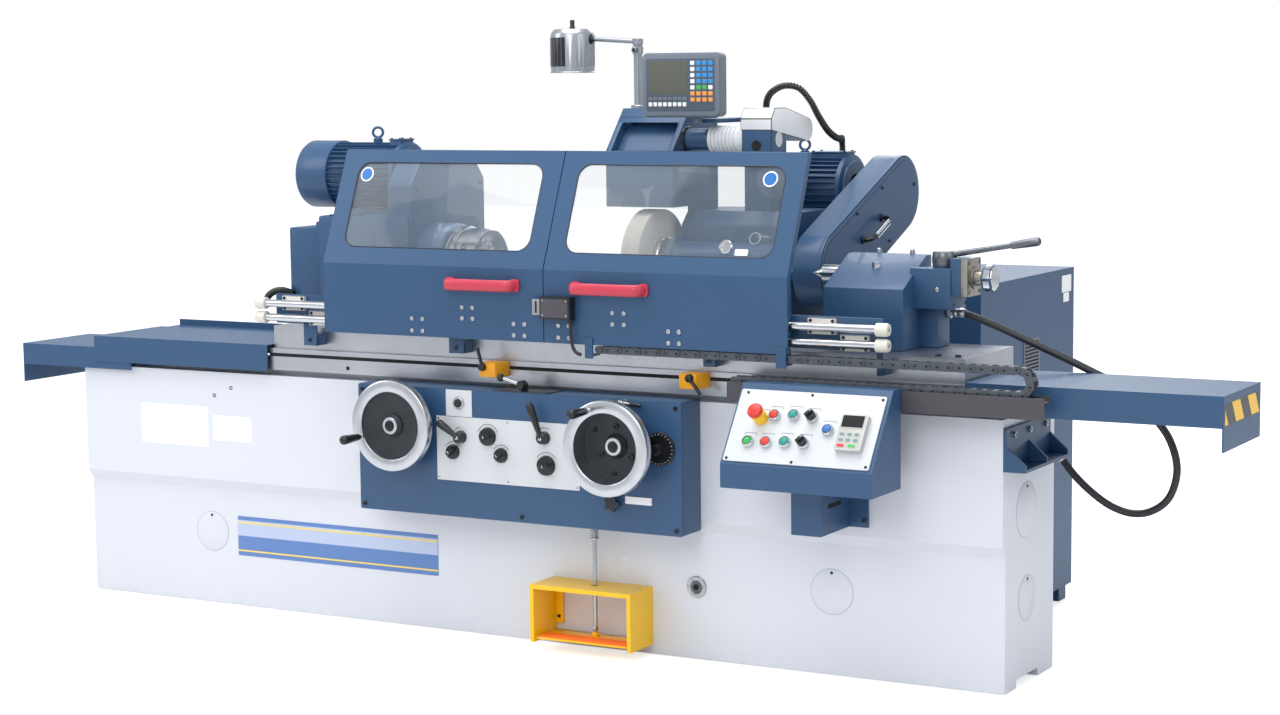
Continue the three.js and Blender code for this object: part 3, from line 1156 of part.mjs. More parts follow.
// Sizes of the belt guard, which hangs on a carrier at the wheelhead's side
const guard = {
  x: [760, 850], frontY: 262, frontZ: 1045, rearY: 733, rearZ: 1240, radius: 110, wall: 4, arcs: 8,
  handleY: 494, handleZ: 1147, handleLength: 168, handleStand: 40, handleLeg: 22, handleGrip: 14,
      handleHeight: 24,
  shaftHole: 60, motorHole: 40, carrierY: [470, 560], carrierZ: [1080, 1150],
};
function wheelheadBody() {
  const w = wheelhead;
  const saddle = slab([w.left - w.saddleOverhang * 2, w.right],
      [w.front - w.saddleOverhang, w.back + w.saddleOverhang],
    [w.bottom, w.saddleTop + seat]);
  const housing = prism('x', [w.left, w.right], [
    [w.front, w.saddleTop - overrun], [w.back, w.saddleTop - overrun], [w.back, w.motorDeck],
      [w.deckFront, w.motorDeck],
    [w.deckFront - w.chamfer, w.top], [w.front + w.chamfer, w.top], [w.front, w.top - w.chamfer],
  ]);
  const barrel = rod('x', [w.left, w.right], [w.spindleY, w.spindleZ], w.barrel, fineSides);
  const bore = rod('x', [w.left - overrun, w.right + overrun], [w.spindleY, w.spindleZ], w.shaft + seat,
      fineSides);
  const cowl = prism('x', [hood.left, hood.right], [
    [hood.frontLow, hood.low], [hood.backY, hood.low], [hood.backY, hood.top], [hood.topFront, hood.top],
    [hood.frontLow, hood.bendZ],
  ]);
  const leg = slab([w.left, hood.right], [w.front + w.chamfer, hood.backY],
      [w.top - overrun, hood.low + overrun]);
  const carrier = slab([w.right - overrun, guard.x[0] - seat], guard.carrierY, guard.carrierZ);
  const post = slab(riser.x, riser.y, [w.top - overrun, riser.top]);
  const bar = slab([riser.barX[0], riser.barX[1] + overrun], riser.barY, riser.barZ);
  const lead = ribbedConduit(conduitRoute, headLead.radius, headLead.depth, headLead.ribs);
  return join(cut(join(saddle, housing, barrel), bore), cowl, leg, carrier, post, bar, lead);
}
place('wheelhead_body', wheelheadBody(), paint(blue));

// Grinding wheel on its spindle, with the driven pulley at the other end
const wheel = { x: [230, 290], radius: 150, flange: 70, flangeThick: 16, pulley: 70, pulleyX: [772, 838],
    bore: 34, endNut: 20 };
function grindingWheel() {
  const w = wheelhead;
  const at = wheel.x[0] - wheel.flangeThick - wheel.endNut;
  return turned('x', [at, w.spindleY, w.spindleZ], [
    [0, w.shaft], [wheel.endNut, w.shaft], [wheel.endNut, wheel.flange],
      [wheel.endNut + wheel.flangeThick, wheel.flange],
    [wheel.x[0] - at, wheel.radius], [wheel.x[1] - at, wheel.radius], [wheel.x[1] - at, wheel.flange],
    [wheel.x[1] - at + wheel.flangeThick, wheel.flange], [wheel.x[1] - at + wheel.flangeThick, w.shaft],
    [wheel.pulleyX[0] - at, w.shaft], [wheel.pulleyX[0] - at, wheel.pulley],
    [wheel.pulleyX[1] - at, wheel.pulley],
  ]);
}
place('grinding_wheel', grindingWheel(), paint(0x8f9296, 0.6));

// Belt guard: a two-part sheet box round both pulleys, with a pull handle
function beltGuardOutline(radius) {
  const run = Math.hypot(guard.rearY - guard.frontY, guard.rearZ - guard.frontZ);
  const tilt = Math.atan2(guard.rearZ - guard.frontZ, guard.rearY - guard.frontY);
  const arc = (cy, cz, start) => Array.from({ length: guard.arcs + 1 }, (_, k) => {
    const angle = start + Math.PI * k / guard.arcs;
    return [cy + radius * Math.cos(angle), cz + radius * Math.sin(angle)];
  });
  return { run, tilt, points: [
    ...arc(guard.rearY, guard.rearZ, tilt - Math.PI / 2), ...arc(guard.frontY, guard.frontZ,
        tilt + Math.PI / 2),
  ] };
}
function beltGuard() {
  const [x0, x1] = guard.x;
  const outer = beltGuardOutline(guard.radius);
  const shell = prism('x', [x0, x1], outer.points);
  const hollow = prism('x', [x0 + guard.wall, x1 - guard.wall],
      beltGuardOutline(guard.radius - guard.wall).points);
  const shaftHole = rod('x', [x0 - overrun, x0 + guard.wall + overrun],
      [wheelhead.spindleY, wheelhead.spindleZ], guard.shaftHole);
  const motorHole = rod('x', [x0 - overrun, x0 + guard.wall + overrun], [wheelMotor.y, wheelMotor.z],
      guard.motorHole);
  const grip = cut(
    slab([x1 - sheet, x1 + guard.handleStand], [-guard.handleLength / 2, guard.handleLength / 2],
      [-guard.handleHeight / 2, guard.handleHeight / 2]),
    slab([x1 - overrun, x1 + guard.handleStand - guard.handleGrip],
      [-guard.handleLength / 2 + guard.handleLeg, guard.handleLength / 2 - guard.handleLeg],
      [-guard.handleHeight, guard.handleHeight]),
  ).rotateX(outer.tilt).translate(0, guard.handleY, guard.handleZ);
  return join(cut(shell, hollow, shaftHole, motorHole), grip);
}
const wheelMotor = {
  ...motorShared, x0: 400, x1: 690, y: 733, z: 1245, radius: 110, capLength: 80,
      floor: wheelhead.motorDeck + seat,
  eyeX: 523, boxFrom: 560, shaft: 140,
};
place('belt_guard', beltGuard(), paint(blue));
place('wheel_motor', finnedMotor(wheelMotor), paint(blue));

// Internal grinding unit on its swing-down arm
const swing = {
  pivotY: 385, pivotZ: 1436, pivotRadius: 34, armX: [riser.x[1] + seat, 698], unitY: 200, unitZ: 1412,
      disc: 36, discX: [402, 412],
  drum: 30, drumTo: 490, barrel: 38, barrelTo: 617, block: 38, armTop: 1500, armThick: 30, blockDepth: 46,
};
function internalArm() {
  const spindle = turned('x', [swing.discX[0], swing.unitY, swing.unitZ], [
    [0, swing.disc], [swing.discX[1] - swing.discX[0], swing.disc],
      [swing.discX[1] - swing.discX[0], swing.drum],
    [swing.drumTo - swing.discX[0], swing.drum], [swing.drumTo - swing.discX[0], swing.barrel],
    [swing.barrelTo - swing.discX[0], swing.barrel],
  ], coarseSides);
  const block = slab([swing.barrelTo - overrun, swing.armX[1]],
    [swing.unitY - swing.blockDepth, swing.unitY + swing.blockDepth],
      [swing.unitZ - swing.block, swing.unitZ + swing.block]);
  const arm = prism('x', swing.armX, [
    [swing.unitY - swing.blockDepth, swing.unitZ + swing.block - overrun],
      [swing.pivotY, swing.pivotZ - swing.pivotRadius],
    [swing.pivotY, swing.pivotZ + swing.pivotRadius], [swing.unitY + swing.blockDepth, swing.armTop],
    [swing.unitY - swing.blockDepth / 2, swing.armTop], [swing.unitY - swing.blockDepth,
      swing.armTop - swing.armThick],
  ]);
  const barrel = rod('x', swing.armX, [swing.pivotY, swing.pivotZ], swing.pivotRadius);
  return join(spindle, block, arm, barrel);
}
place('internal_grinding_arm', internalArm(), paint(0xe3e5e6, 0.4));

// Digital readout on its bar
const readout = { x: [318, 570], z: [1476, 1656], front: 92, thick: 40, corner: 16, cornerSteps: 3,
    neckX: 478, neck: 9 };
function display() {
  const box = prism('y', [readout.front, readout.front + readout.thick],
      roundedPlate(readout.x, readout.z, readout.corner), readout.cornerSteps);
  const pivotY = riser.barY[0] - seat - readout.neck;
  const neckZ = [riser.barZ[0], readout.z[0] + overrun * 2];
  const neck = slab([readout.neckX - readout.neck, readout.neckX + readout.neck],
    [readout.front + readout.thick - overrun, pivotY], neckZ);
  return join(box, neck, rod('z', neckZ, [readout.neckX, pivotY], readout.neck));
}
place('dro_display', display(), paint(0x5b6573, 0.45));

// Work lamp on a post at the top of the hood
const lamp = {
  x: 179, y: 322, postRadius: 12.5, foot: 22, footThick: 8, clampLow: 1655, clampRadius: 16, postTop: 1702,
  armZ: [1692, 1704], headX: -44, headRadius: 66, headLow: 1603, headHigh: 1720, neckRadius: 7,
  switchRadius: 7, switchRise: 25, wall: 4, roof: 16, taper: 14, shadeSides: 20,
};
function workLamp() {
  const foot = hood.top + seat;
  const post = turned('z', [lamp.x, lamp.y, foot], [
    [0, lamp.foot], [lamp.footThick, lamp.foot], [lamp.footThick, lamp.postRadius],
      [lamp.clampLow - foot, lamp.postRadius], [lamp.clampLow - foot, lamp.clampRadius],
      [lamp.postTop - foot, lamp.clampRadius],
  ], smallSides);
  const arm = strut([lamp.x, lamp.y, lamp.armZ[0]],
    [lamp.headX + lamp.headRadius - lamp.taper, lamp.y, lamp.armZ[1]], lamp.neckRadius);
  const shade = turned('z', [lamp.headX, lamp.y, lamp.headLow], [
    [0, lamp.headRadius], [lamp.headHigh - lamp.headLow, lamp.headRadius],
    [lamp.headHigh - lamp.headLow + lamp.taper, lamp.headRadius - lamp.taper],
  ], lamp.shadeSides);
  const hollow = rod('z', [lamp.headLow - overrun, lamp.headHigh - lamp.roof], [lamp.headX, lamp.y],
      lamp.headRadius - lamp.wall);
  const button = rod('z', [lamp.headHigh, lamp.headHigh + lamp.taper + lamp.switchRise], [lamp.headX, lamp.y],
      lamp.switchRadius, smallSides);
  return join(post, arm, cut(shade, hollow), button);
}
place('work_lamp', workLamp(), paint(0x8a8d92, 0.35, 0.5));

// Hose from the tailstock down behind the cover to the end of the bed
const hose = { radius: 12.5, sides: 8, steps: 36 };
const hoseRoute = [
  [1274, 80, 957], [1296, 80, 956.6], [1322, 81, 950], [1368, 84, 934], [1430, 89, 909],
  [1500, 95, 879], [1584, 104, 842.5], [1661, 113, 807],
  [1740, 126, 768], [1800, 140, 706], [1848, 148, 640], [1868, 150, 560], [1846, 150, 485], [1800, 149, 448],
  [1750, 148, 439], [1694, 148, 453], [1640, 148, 486], [1590, 148, 530], [1556, 148, 570], [1536, 148, 592],
];
place('hydraulic_hose', tube(hoseRoute, hose.radius, hose.sides, hose.steps), paint(0x1d1f21, 0.5));

export default machine;
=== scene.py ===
"""Universal cylindrical grinding machine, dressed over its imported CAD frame.

Numbers in the sections are millimetres in the frame's own axes: x along the bed to the right, y to the
back, z up, with the origin on the floor under the middle of the bed. Meshes are written in metres.
"""
import math

import bmesh
import bpy
import numpy as np
from mathutils import Matrix, Vector


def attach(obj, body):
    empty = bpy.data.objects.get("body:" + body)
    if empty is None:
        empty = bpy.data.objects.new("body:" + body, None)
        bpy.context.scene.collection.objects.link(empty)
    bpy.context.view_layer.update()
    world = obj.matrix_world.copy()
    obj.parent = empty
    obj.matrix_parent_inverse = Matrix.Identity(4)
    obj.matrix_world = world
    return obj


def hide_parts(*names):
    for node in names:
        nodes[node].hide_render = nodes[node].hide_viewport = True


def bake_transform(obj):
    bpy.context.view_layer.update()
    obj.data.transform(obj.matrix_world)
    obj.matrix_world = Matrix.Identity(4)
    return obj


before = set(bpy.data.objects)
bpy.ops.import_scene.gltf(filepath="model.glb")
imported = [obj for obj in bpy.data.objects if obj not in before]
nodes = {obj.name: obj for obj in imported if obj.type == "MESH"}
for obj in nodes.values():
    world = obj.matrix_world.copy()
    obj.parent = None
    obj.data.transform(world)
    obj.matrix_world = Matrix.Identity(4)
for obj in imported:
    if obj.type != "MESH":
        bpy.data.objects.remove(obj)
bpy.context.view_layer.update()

# Camera: fitted to parallel edges of the bed and the table in the photograph.
# Its three directions are made exactly square to each other before use.
camera_data = bpy.data.cameras.new("camera")
camera_data.lens = 70.617
camera_data.sensor_width = 36.0
camera_data.clip_end = 60.0
camera = bpy.data.objects.new("camera", camera_data)
bpy.context.scene.collection.objects.link(camera)
camera_spot = Vector((3.8219, -6.1399, 1.6))
ahead = Vector((-0.4884, 0.8653, -0.1125)).normalized()
picture_edge = Vector((0.8714, 0.4904, -0.0110))
right = (picture_edge - ahead * ahead.dot(picture_edge)).normalized()
up = right.cross(ahead)
camera.matrix_world = Matrix.Translation(camera_spot) @ Matrix((right, up, -ahead)).transposed().to_4x4()
bpy.context.scene.camera = camera


# Hydraulic hose: black rubber hose with a crimped steel ferrule at each end.
# It is extruded rubber over braid, and screws into the tailstock and into a port on the bed's end.
def smooth_path(points, per_span=8):
    """Centripetal Catmull-Rom curve through the points.

    Knots t[i+1] = t[i] + |p[i+1] - p[i]| ** 0.5, then three rounds of linear mixing between knots.
    """
    p = np.asarray(points, float)
    p = np.vstack([2 * p[0] - p[1], p, 2 * p[-1] - p[-2]])
    t = np.concatenate([[0], np.cumsum(np.linalg.norm(np.diff(p, axis=0), axis=1) ** 0.5)])
    spans = []
    for i in range(1, len(p) - 2):
        s = np.linspace(t[i], t[i + 1], per_span, endpoint=False)[:, None]

        def mix(a, b, i0, i1):
            return (t[i1] - s) / (t[i1] - t[i0]) * a + (s - t[i0]) / (t[i1] - t[i0]) * b
        a = [mix(p[i - 1 + k], p[i + k], i - 1 + k, i + k) for k in range(3)]
        b = [mix(a[0], a[1], i - 1, i + 1), mix(a[1], a[2], i, i + 2)]
        spans.append(mix(b[0], b[1], i, i + 1))
    return np.vstack([*spans, p[-2]])


def lengths(points):
    """Distance along a line of points, measured at each of them."""
    return np.concatenate([[0], np.cumsum(np.linalg.norm(np.diff(points, axis=0), axis=1))])


def turn(count):
    """Angles of equal steps round a circle: 2 pi k / count."""
    return np.arange(count) * 2 * math.pi / count


def ring_faces(rings, sides, closed=False):
    """Quads between neighbouring rings of points; closed joins the last ring to the first."""
    start = np.arange(rings if closed else rings - 1)[:, None] * sides
    after = (start + sides) % (rings * sides)
    a = np.arange(sides)
    b = (a + 1) % sides
    return np.stack([start + a, start + b, after + b, after + a], axis=-1).reshape(-1, 4).tolist()


def end_faces(rings, sides):
    """The two flat faces that close the first and the last ring."""
    last = (rings - 1) * sides
    return [list(range(sides))[::-1], list(range(last, last + sides))]


def tube(points, radius, sides=20):
    """Sweep a circle along points with a frame that doesn't twist.

    radius is a number or one per point. A ring's point is spot + radius * (cos a * normal + sin a * across).
    The normal at each step is the last one less its part along the new tangent, and across is square to
    both.
    """
    p = np.asarray(points, float)
    r = np.broadcast_to(np.asarray(radius, float), (len(p),))
    tangent = np.gradient(p, axis=0)
    tangent /= np.linalg.norm(tangent, axis=1)[:, None]
    normal = np.array([0.0, 0.0, 1.0]) if abs(tangent[0][2]) < 0.9 else np.array([1.0, 0.0, 0.0])
    a = turn(sides)[:, None]
    rings = []
    for spot, way, size in zip(p, tangent, r):
        normal = normal - way * normal.dot(way)
        normal /= np.linalg.norm(normal)
        rings.append(spot + size * (np.cos(a) * normal + np.sin(a) * np.cross(way, normal)))
    return np.vstack(rings), ring_faces(len(p), sides) + end_faces(len(p), sides)


FRAMES = {"x": ((0, 1, 0), (0, 0, 1), (1, 0, 0)), "y": ((0, 0, 1), (1, 0, 0), (0, 1, 0)),
          "z": ((1, 0, 0), (0, 1, 0), (0, 0, 1)), "front": ((1, 0, 0), (0, 0, 1), (0, -1, 0))}
POLE = 0.02


def lathe(axis, origin, profile, steps=64):
    """Turn a profile of (along, radius) about an axis: point = origin + along*n + radius*(cos a*u + sin a*v).

    A profile that ends where it starts makes a ring; any other is closed by a disc at each end, which is
    a tiny one where the radius is nothing.
    """
    u, v, n = (np.array(d, float) for d in FRAMES[axis])
    ring = profile[0] == profile[-1]
    kept = profile[:-1] if ring else profile
    a = turn(steps)[:, None]
    spin = np.cos(a) * u + np.sin(a) * v
    rows = [np.array(origin, float) + along * n + max(radius, POLE) * spin for along, radius in kept]
    return np.vstack(rows), ring_faces(len(rows), steps, ring) + ([] if ring else end_faces(len(rows), steps))


def prism(axis, span, outline):
    """Push an outline along one axis: (y, z) for x, (x, z) for y, (x, y) for z."""
    n = len(outline)
    flat = np.array(outline, float)
    columns = {"x": [0, 1, 2], "y": [1, 0, 2], "z": [1, 2, 0]}[axis]
    ends = [np.column_stack([np.full(n, float(place)), flat])[:, columns] for place in span]
    return np.vstack(ends), ring_faces(2, n) + end_faces(2, n)


def slab(x, y, z):
    """A block between two places on each axis."""
    return prism("x", x, [(y[0], z[0]), (y[1], z[0]), (y[1], z[1]), (y[0], z[1])])


def moved(part, matrix):
    """The part with every point put through a 4x4 matrix whose move is in millimetres."""
    verts, faces = part
    m = np.array(matrix)
    return verts @ m[:3, :3].T + m[:3, 3], faces


def aimed(part, spot, direction):
    """A part drawn up the z axis at the origin, turned to a direction and moved to a spot."""
    swing = Vector((0, 0, 1)).rotation_difference(Vector(direction).normalized()).to_matrix().to_4x4()
    return moved(part, Matrix.Translation(Vector(spot)) @ swing)


SHARP = math.radians(34)
BEVEL_FROM = math.radians(30)


def build(name, body, rows, replaces=(), ride=True):
    """One object from (part, material, bevel) rows; sharp edges get a two-step round of the bevel's width."""
    looks = list(dict.fromkeys(row[1] for row in rows))
    whole = bmesh.new()
    for part, look, *bevel in rows:
        scratch = bpy.data.meshes.new("scratch")
        scratch.from_pydata((part[0] / 1000).tolist(), [], part[1])
        scratch.polygons.foreach_set("material_index", [looks.index(look)] * len(part[1]))
        piece = bmesh.new()
        piece.from_mesh(scratch)
        bmesh.ops.recalc_face_normals(piece, faces=piece.faces)
        if bevel:
            edges = [e for e in piece.edges if len(e.link_faces) == 2 and e.calc_face_angle(0) > BEVEL_FROM]
            bmesh.ops.bevel(piece, geom=edges, offset=bevel[0] / 1000, segments=2, profile=0.6,
                            affect="EDGES", clamp_overlap=True)
        piece.to_mesh(scratch)
        piece.free()
        whole.from_mesh(scratch)
        bpy.data.meshes.remove(scratch)
    mesh = bpy.data.meshes.new(name)
    whole.to_mesh(mesh)
    whole.free()
    for look in looks:
        mesh.materials.append(look)
    mesh.polygons.foreach_set("use_smooth", [True] * len(mesh.polygons))
    mesh.set_sharp_from_angle(angle=SHARP)
    mesh.update()
    made = bpy.data.objects.new(name, mesh)
    bpy.context.scene.collection.objects.link(made)
    if ride:
        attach(made, body)
    if replaces:
        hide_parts(*replaces)
    return made


def rgb(code):
    """sRGB hex to the linear colour that a shader takes."""
    part = [int(code[k:k + 2], 16) / 255 for k in (1, 3, 5)]
    return tuple(c / 12.92 if c <= 0.04045 else ((c + 0.055) / 1.055) ** 2.4 for c in part) + (1.0,)


def add(tree, kind, inputs=None, **settings):
    """Add a shader node; an input is a value, or a socket to link from."""
    made = tree.nodes.new(kind)
    for key, value in settings.items():
        setattr(made, key, value)
    for key, value in (inputs or {}).items():
        if isinstance(value, bpy.types.NodeSocket):
            tree.links.new(value, made.inputs[key])
        else:
            made.inputs[key].default_value = value
    return made


def surface(name, code, rough, metallic=0.0, stretch=(1, 1, 1), tone=0.06, tone_mm=400, grain_mm=3, bump=0.12,
            coat=0.0):
    """A finish whose tone drifts over tone_mm, whose gloss varies, and whose relief has a grain of grain_mm.

    The middle of a noise, from 0.3 to 0.7, is spread over the whole range. stretch below 1 draws the grain
    out into lines. A real grain under 0.5 mm wouldn't show, so grain_mm is never finer than that.
    """
    gloss_change, relief_depth = 0.06, grain_mm / 5000
    look = bpy.data.materials.new(name)
    look.use_nodes = True
    tree = look.node_tree
    shader = tree.nodes["Principled BSDF"]
    where = add(tree, "ShaderNodeTexCoord").outputs["Object"]
    laid = add(tree, "ShaderNodeMapping", {"Vector": where, "Scale": stretch}).outputs["Vector"]
    drift = add(tree, "ShaderNodeTexNoise",
                {"Vector": where, "Scale": 1000 / tone_mm, "Detail": 5.0}).outputs["Fac"]
    grain = add(tree, "ShaderNodeTexNoise",
                {"Vector": laid, "Scale": 1000 / grain_mm, "Detail": 4.0}).outputs["Fac"]
    base = rgb(code)
    ramp = add(tree, "ShaderNodeValToRGB", {"Fac": drift})
    for stop, position, change in zip(ramp.color_ramp.elements, (0.3, 0.7), (1 - tone, 1 + tone)):
        stop.position = position
        stop.color = tuple(min(1, c * change) for c in base[:3]) + (1,)
    tree.links.new(ramp.outputs["Color"], shader.inputs["Base Color"])
    spread = add(tree, "ShaderNodeMapRange", {
        "Value": grain, "From Min": 0.3, "From Max": 0.7,
        "To Min": max(0.03, rough - gloss_change), "To Max": min(1, rough + gloss_change)})
    tree.links.new(spread.outputs["Result"], shader.inputs["Roughness"])
    relief = add(tree, "ShaderNodeBump", {"Height": grain, "Strength": bump, "Distance": relief_depth})
    tree.links.new(relief.outputs["Normal"], shader.inputs["Normal"])
    shader.inputs["Metallic"].default_value = metallic
    shader.inputs["Coat Weight"].default_value = coat
    return look


# Extruded nitrile rubber: dull and slightly dusty, with the fine cloth marks of its wrapping.
rubber = surface("black_rubber", "#25282b", 0.42, tone=0.2, tone_mm=60, grain_mm=1.2, bump=0.35)
# Zinc-plated turned steel of fittings and small screws: a pale metal with soft highlights.
plated = surface("plated_steel", "#b4b7ba", 0.28, metallic=1.0, tone=0.1, tone_mm=12, grain_mm=0.8, bump=0.1)
TO_RIGHT, TO_FRONT, TO_TOP = (1, 0, 0), (0, -1, 0), (0, 0, 1)
HOSE = [(1274, 80, 957), (1296, 80, 956.6), (1322, 81, 950), (1368, 84, 934), (1430, 89, 909),
        (1500, 95, 879), (1584, 104, 842.5), (1661, 113, 807), (1740, 126, 768), (1800, 140, 706),
        (1848, 148, 640), (1868, 150, 560), (1846, 150, 485), (1800, 149, 448), (1750, 148, 439),
        (1694, 148, 453), (1640, 148, 486), (1590, 148, 530), (1556, 148, 570), (1536, 148, 592)]
HOSE_RADIUS = 10
FERRULE = [(0, 11), (3, 13), (9, 13), (11, 12.2), (16, 12.2), (18, 13), (30, 13), (34, 10.6)]
hose_line = smooth_path(HOSE)
hose = build("hose", "bed", [(tube(hose_line, HOSE_RADIUS, 24), rubber)], replaces=("hydraulic_hose",),
             ride=False)
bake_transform(hose)
start_ferrule = build("hose_ferrule_top", "table", [
    (aimed(lathe("z", (0, 0, 0), FERRULE, 40), HOSE[0], TO_RIGHT), plated),
    (aimed(lathe("z", (0, 0, 0), [(0, 17), (13, 17)], 6), (1255.5, 80, 957), TO_RIGHT), plated, 1.0)])
end_way = np.array(HOSE[-2], float) - np.array(HOSE[-1], float)
end_ferrule = build("hose_ferrule_end", "bed", [
    (aimed(lathe("z", (0, 0, 0), FERRULE, 40), HOSE[-1], end_way), plated),
    (slab((1524.4, 1545), (130, 166), (580, 612)), plated, 2.0)])


# Bed: a long iron casting, filled and sprayed in off-white machine enamel.
# It stands flat on the floor; its slideways are ground bare iron, and blank plugs close its core holes.
def dress(node, look, bevel):
    """Give a carried-over CAD node its finish, merged flat faces and a fine round on its edges."""
    piece = nodes[node]
    piece.data.materials.clear()
    piece.data.materials.append(look)
    flat = piece.modifiers.new("flat", "DECIMATE")
    flat.decimate_type = "DISSOLVE"
    flat.angle_limit = math.radians(0.6)
    soft = piece.modifiers.new("soft", "BEVEL")
    soft.width = bevel / 1000
    soft.segments = 2
    soft.limit_method = "ANGLE"
    soft.angle_limit = math.radians(35)


# Sprayed enamel: an even satin with the faint orange peel of the spray gun.
white = surface("white_paint", "#d9dce3", 0.36, tone=0.03, tone_mm=900, grain_mm=5, bump=0.10, coat=0.15)
# Ground iron: fine bright lines along the stroke of the stone.
ground = surface("ground_steel", "#bfc2c8", 0.32, metallic=1.0, stretch=(0.04, 1, 1), tone=0.08, tone_mm=160,
                 grain_mm=1.0, bump=0.14)
# The bottom of a hole or a gap, where oil and dust leave nothing bright.
# Near black: painted shade in the bottom of holes, slots, seams and gaps, and also the keypad's dark display.
shade_and_display_black = surface("shade_and_display_black", "#101113", 0.8, tone=0.1, tone_mm=20, bump=0.05)
# The shaded joint round a plug, in unpolished filler.
plug_gap = surface("plug_gap", "#aab0ba", 0.6, tone=0.05)
LOWER_FRONT, UPPER_FRONT, BED_END = -180, -200, 1524
dress("bed_casting", white, 3)
# Each plug has a small hole near its top, drawn as a dark disc of painted shade.
plugs = []
for x, y, z, radius, axis in [(1036, LOWER_FRONT, 225, 61, "front"), (-1051, LOWER_FRONT, 221, 60, "front"),
                              (BED_END, -30, 461, 73, "x"), (BED_END, -24, 226, 60, "x")]:
    plugs += [
        (lathe(axis, (x, y, z), [(-2, radius), (0.8, radius), (1.6, radius - 1.2), (1.6, 0)], 96), white),
        (lathe(axis, (x, y, z + 0.84 * radius), [(1, 4), (2.4, 4), (2.4, 0)], 24), shade_and_display_black),
        (lathe(axis, (x, y, z), [(-2, radius + 1.6), (0.35, radius + 1.6), (0.35, 0)], 96), plug_gap)]
build("bed_plugs", "bed", plugs)
build("bed_slideways", "bed",
      [(slab((-1523, 1523), way, (734.7, 734.9)), ground) for way in ((-149, -101), (61, 119))])


# Sight glass on the bed's front: a chromed ring with six bolts round a domed glass with a dark eye.
# The glass is cast, and the ring is turned and screwed over it.
def on_circle(centre, radius, angle):
    """A place on a circle: (u + radius * cos angle, v + radius * sin angle)."""
    return centre[0] + radius * math.cos(angle), centre[1] + radius * math.sin(angle)


# Cast glass with oil behind it: dark, wet and smooth.
clear_oil = surface("sight_glass", "#5a6068", 0.08, tone=0.3, tone_mm=14, bump=0.02)
glass_x, glass_z = 629, 201
glass_spot = (glass_x, LOWER_FRONT, glass_z)
glass_rows = [
    (lathe("front", glass_spot, [(-1, 30), (3, 30), (5, 28), (5, 20), (3, 18), (3, 0)], 64), plated),
    (lathe("front", glass_spot, [(3, 17.5), (4.5, 15), (5.5, 10), (6, 0)], 48), clear_oil),
    (lathe("front", glass_spot, [(5, 9), (6.4, 8), (6.6, 0)], 32), shade_and_display_black)]
for a in turn(6):
    x, z = on_circle((glass_x, glass_z), 24, a)
    bolt = lathe("front", (x, LOWER_FRONT - 4.5, z), [(0, 2.6), (2, 2.6), (2.6, 1.8)], 16)
    glass_rows.append((bolt, plated))
build("sight_glass", "bed", glass_rows)


# Bare plates on the bed's front: pressed aluminium and plain vinyl, with nothing printed on them.
# They are stuck on flat; the long strip on the lower front has plain bands of blue, pale blue and yellow.
def rounded(u, v, radius, steps=8):
    """Outline of a rectangle with round corners; each corner is a quarter circle of the given steps."""
    corners = [(u[1] - radius, v[0] + radius, -90), (u[1] - radius, v[1] - radius, 0),
               (u[0] + radius, v[1] - radius, 90), (u[0] + radius, v[0] + radius, 180)]
    return [on_circle((corner_u, corner_v), radius, math.radians(start + 90 * k / steps))
            for corner_u, corner_v, start in corners for k in range(steps + 1)]


# Vinyl sheet: flat colour and an even low gloss.
vinyl = surface("plain_vinyl", "#f2f3f4", 0.45, tone=0.02, grain_mm=2, bump=0.04)
banner_blue = surface("banner_blue", "#5f82bb", 0.4, tone=0.03, grain_mm=2, bump=0.04)
banner_pale = surface("banner_pale", "#b9c5de", 0.4, tone=0.03, grain_mm=2, bump=0.04)
banner_yellow = surface("banner_yellow", "#efd677", 0.4, tone=0.03, grain_mm=2, bump=0.04)
# Pressed aluminium sheet: pale metal, rolled along its length.
aluminium = surface("plate_aluminium", "#c6c9cc", 0.35, metallic=1.0, stretch=(0.05, 1, 1), tone=0.05,
                    grain_mm=0.8, bump=0.08)
build("bed_banner", "bed", [
    (prism("y", (-180.9, -179.9), rounded((-953, -221), (155, 276), 3)), banner_blue),
    (slab((-952, -222), (-181.3, -180.8), (216, 264)), banner_pale),
    *[(slab((-952, -222), (-181.7, -181.2), (z, z + 5)), banner_yellow) for z in (168, 254)]])
build("bed_plates", "bed", [
    (prism("y", (-200.8, -199.8), rounded((-1302, -1040), (484, 608), 4)), vinyl),
    (prism("y", (-200.8, -199.8), rounded((-1021, -875), (507, 584), 4)), vinyl),
    (prism("y", (-181.2, -179.8), rounded((387, 419), (246, 269), 11)), aluminium)])
# The two screws are drawn as dark rings of painted shade.
build("bed_screws", "bed", [
    (lathe("front", (x, UPPER_FRONT, z), [(-1, 6), (0.6, 6), (0.6, 3.4), (-0.8, 3.4)], 24), shade_and_display_black)
    for x, z in [(-1013, 644), (-949, 670)]])


# End bracket: welded steel plate with three gussets, painted blue, bolted to the bed's end.
# Its screws have round heads with a socket.
def cap_screw(radius, height):
    """A screw standing on z 0: a chamfered round head with a round socket down to 0.4 of its height."""
    return lathe("z", (0, 0, 0), [
        (0, radius), (height - 0.4, radius), (height, radius - 0.5), (height, radius * 0.55),
        (height * 0.4, radius * 0.5), (height * 0.4, 0)], 24)


def screw_rows(spots, way, radius, height, look):
    """Rows for build: screws at several spots, all facing one way."""
    return [(aimed(cap_screw(radius, height), spot, way), look) for spot in spots]


def screws(name, body, spots, way, radius, height, look=plated):
    """An object of screws at several spots, all facing one way."""
    build(name, body, screw_rows(spots, way, radius, height, look))


# The machine's blue enamel, sprayed over filler: satin, with the faint orange peel of the spray gun.
blue = surface("blue_paint", "#294d72", 0.42, tone=0.05, tone_mm=700, grain_mm=4, bump=0.10, coat=0.12)
dress("end_bracket", blue, 1.2)
screws("end_bracket_bolts", "bed", [(1533.3, y, 674) for y in (-150, -40, 80)], TO_RIGHT, 8, 7)


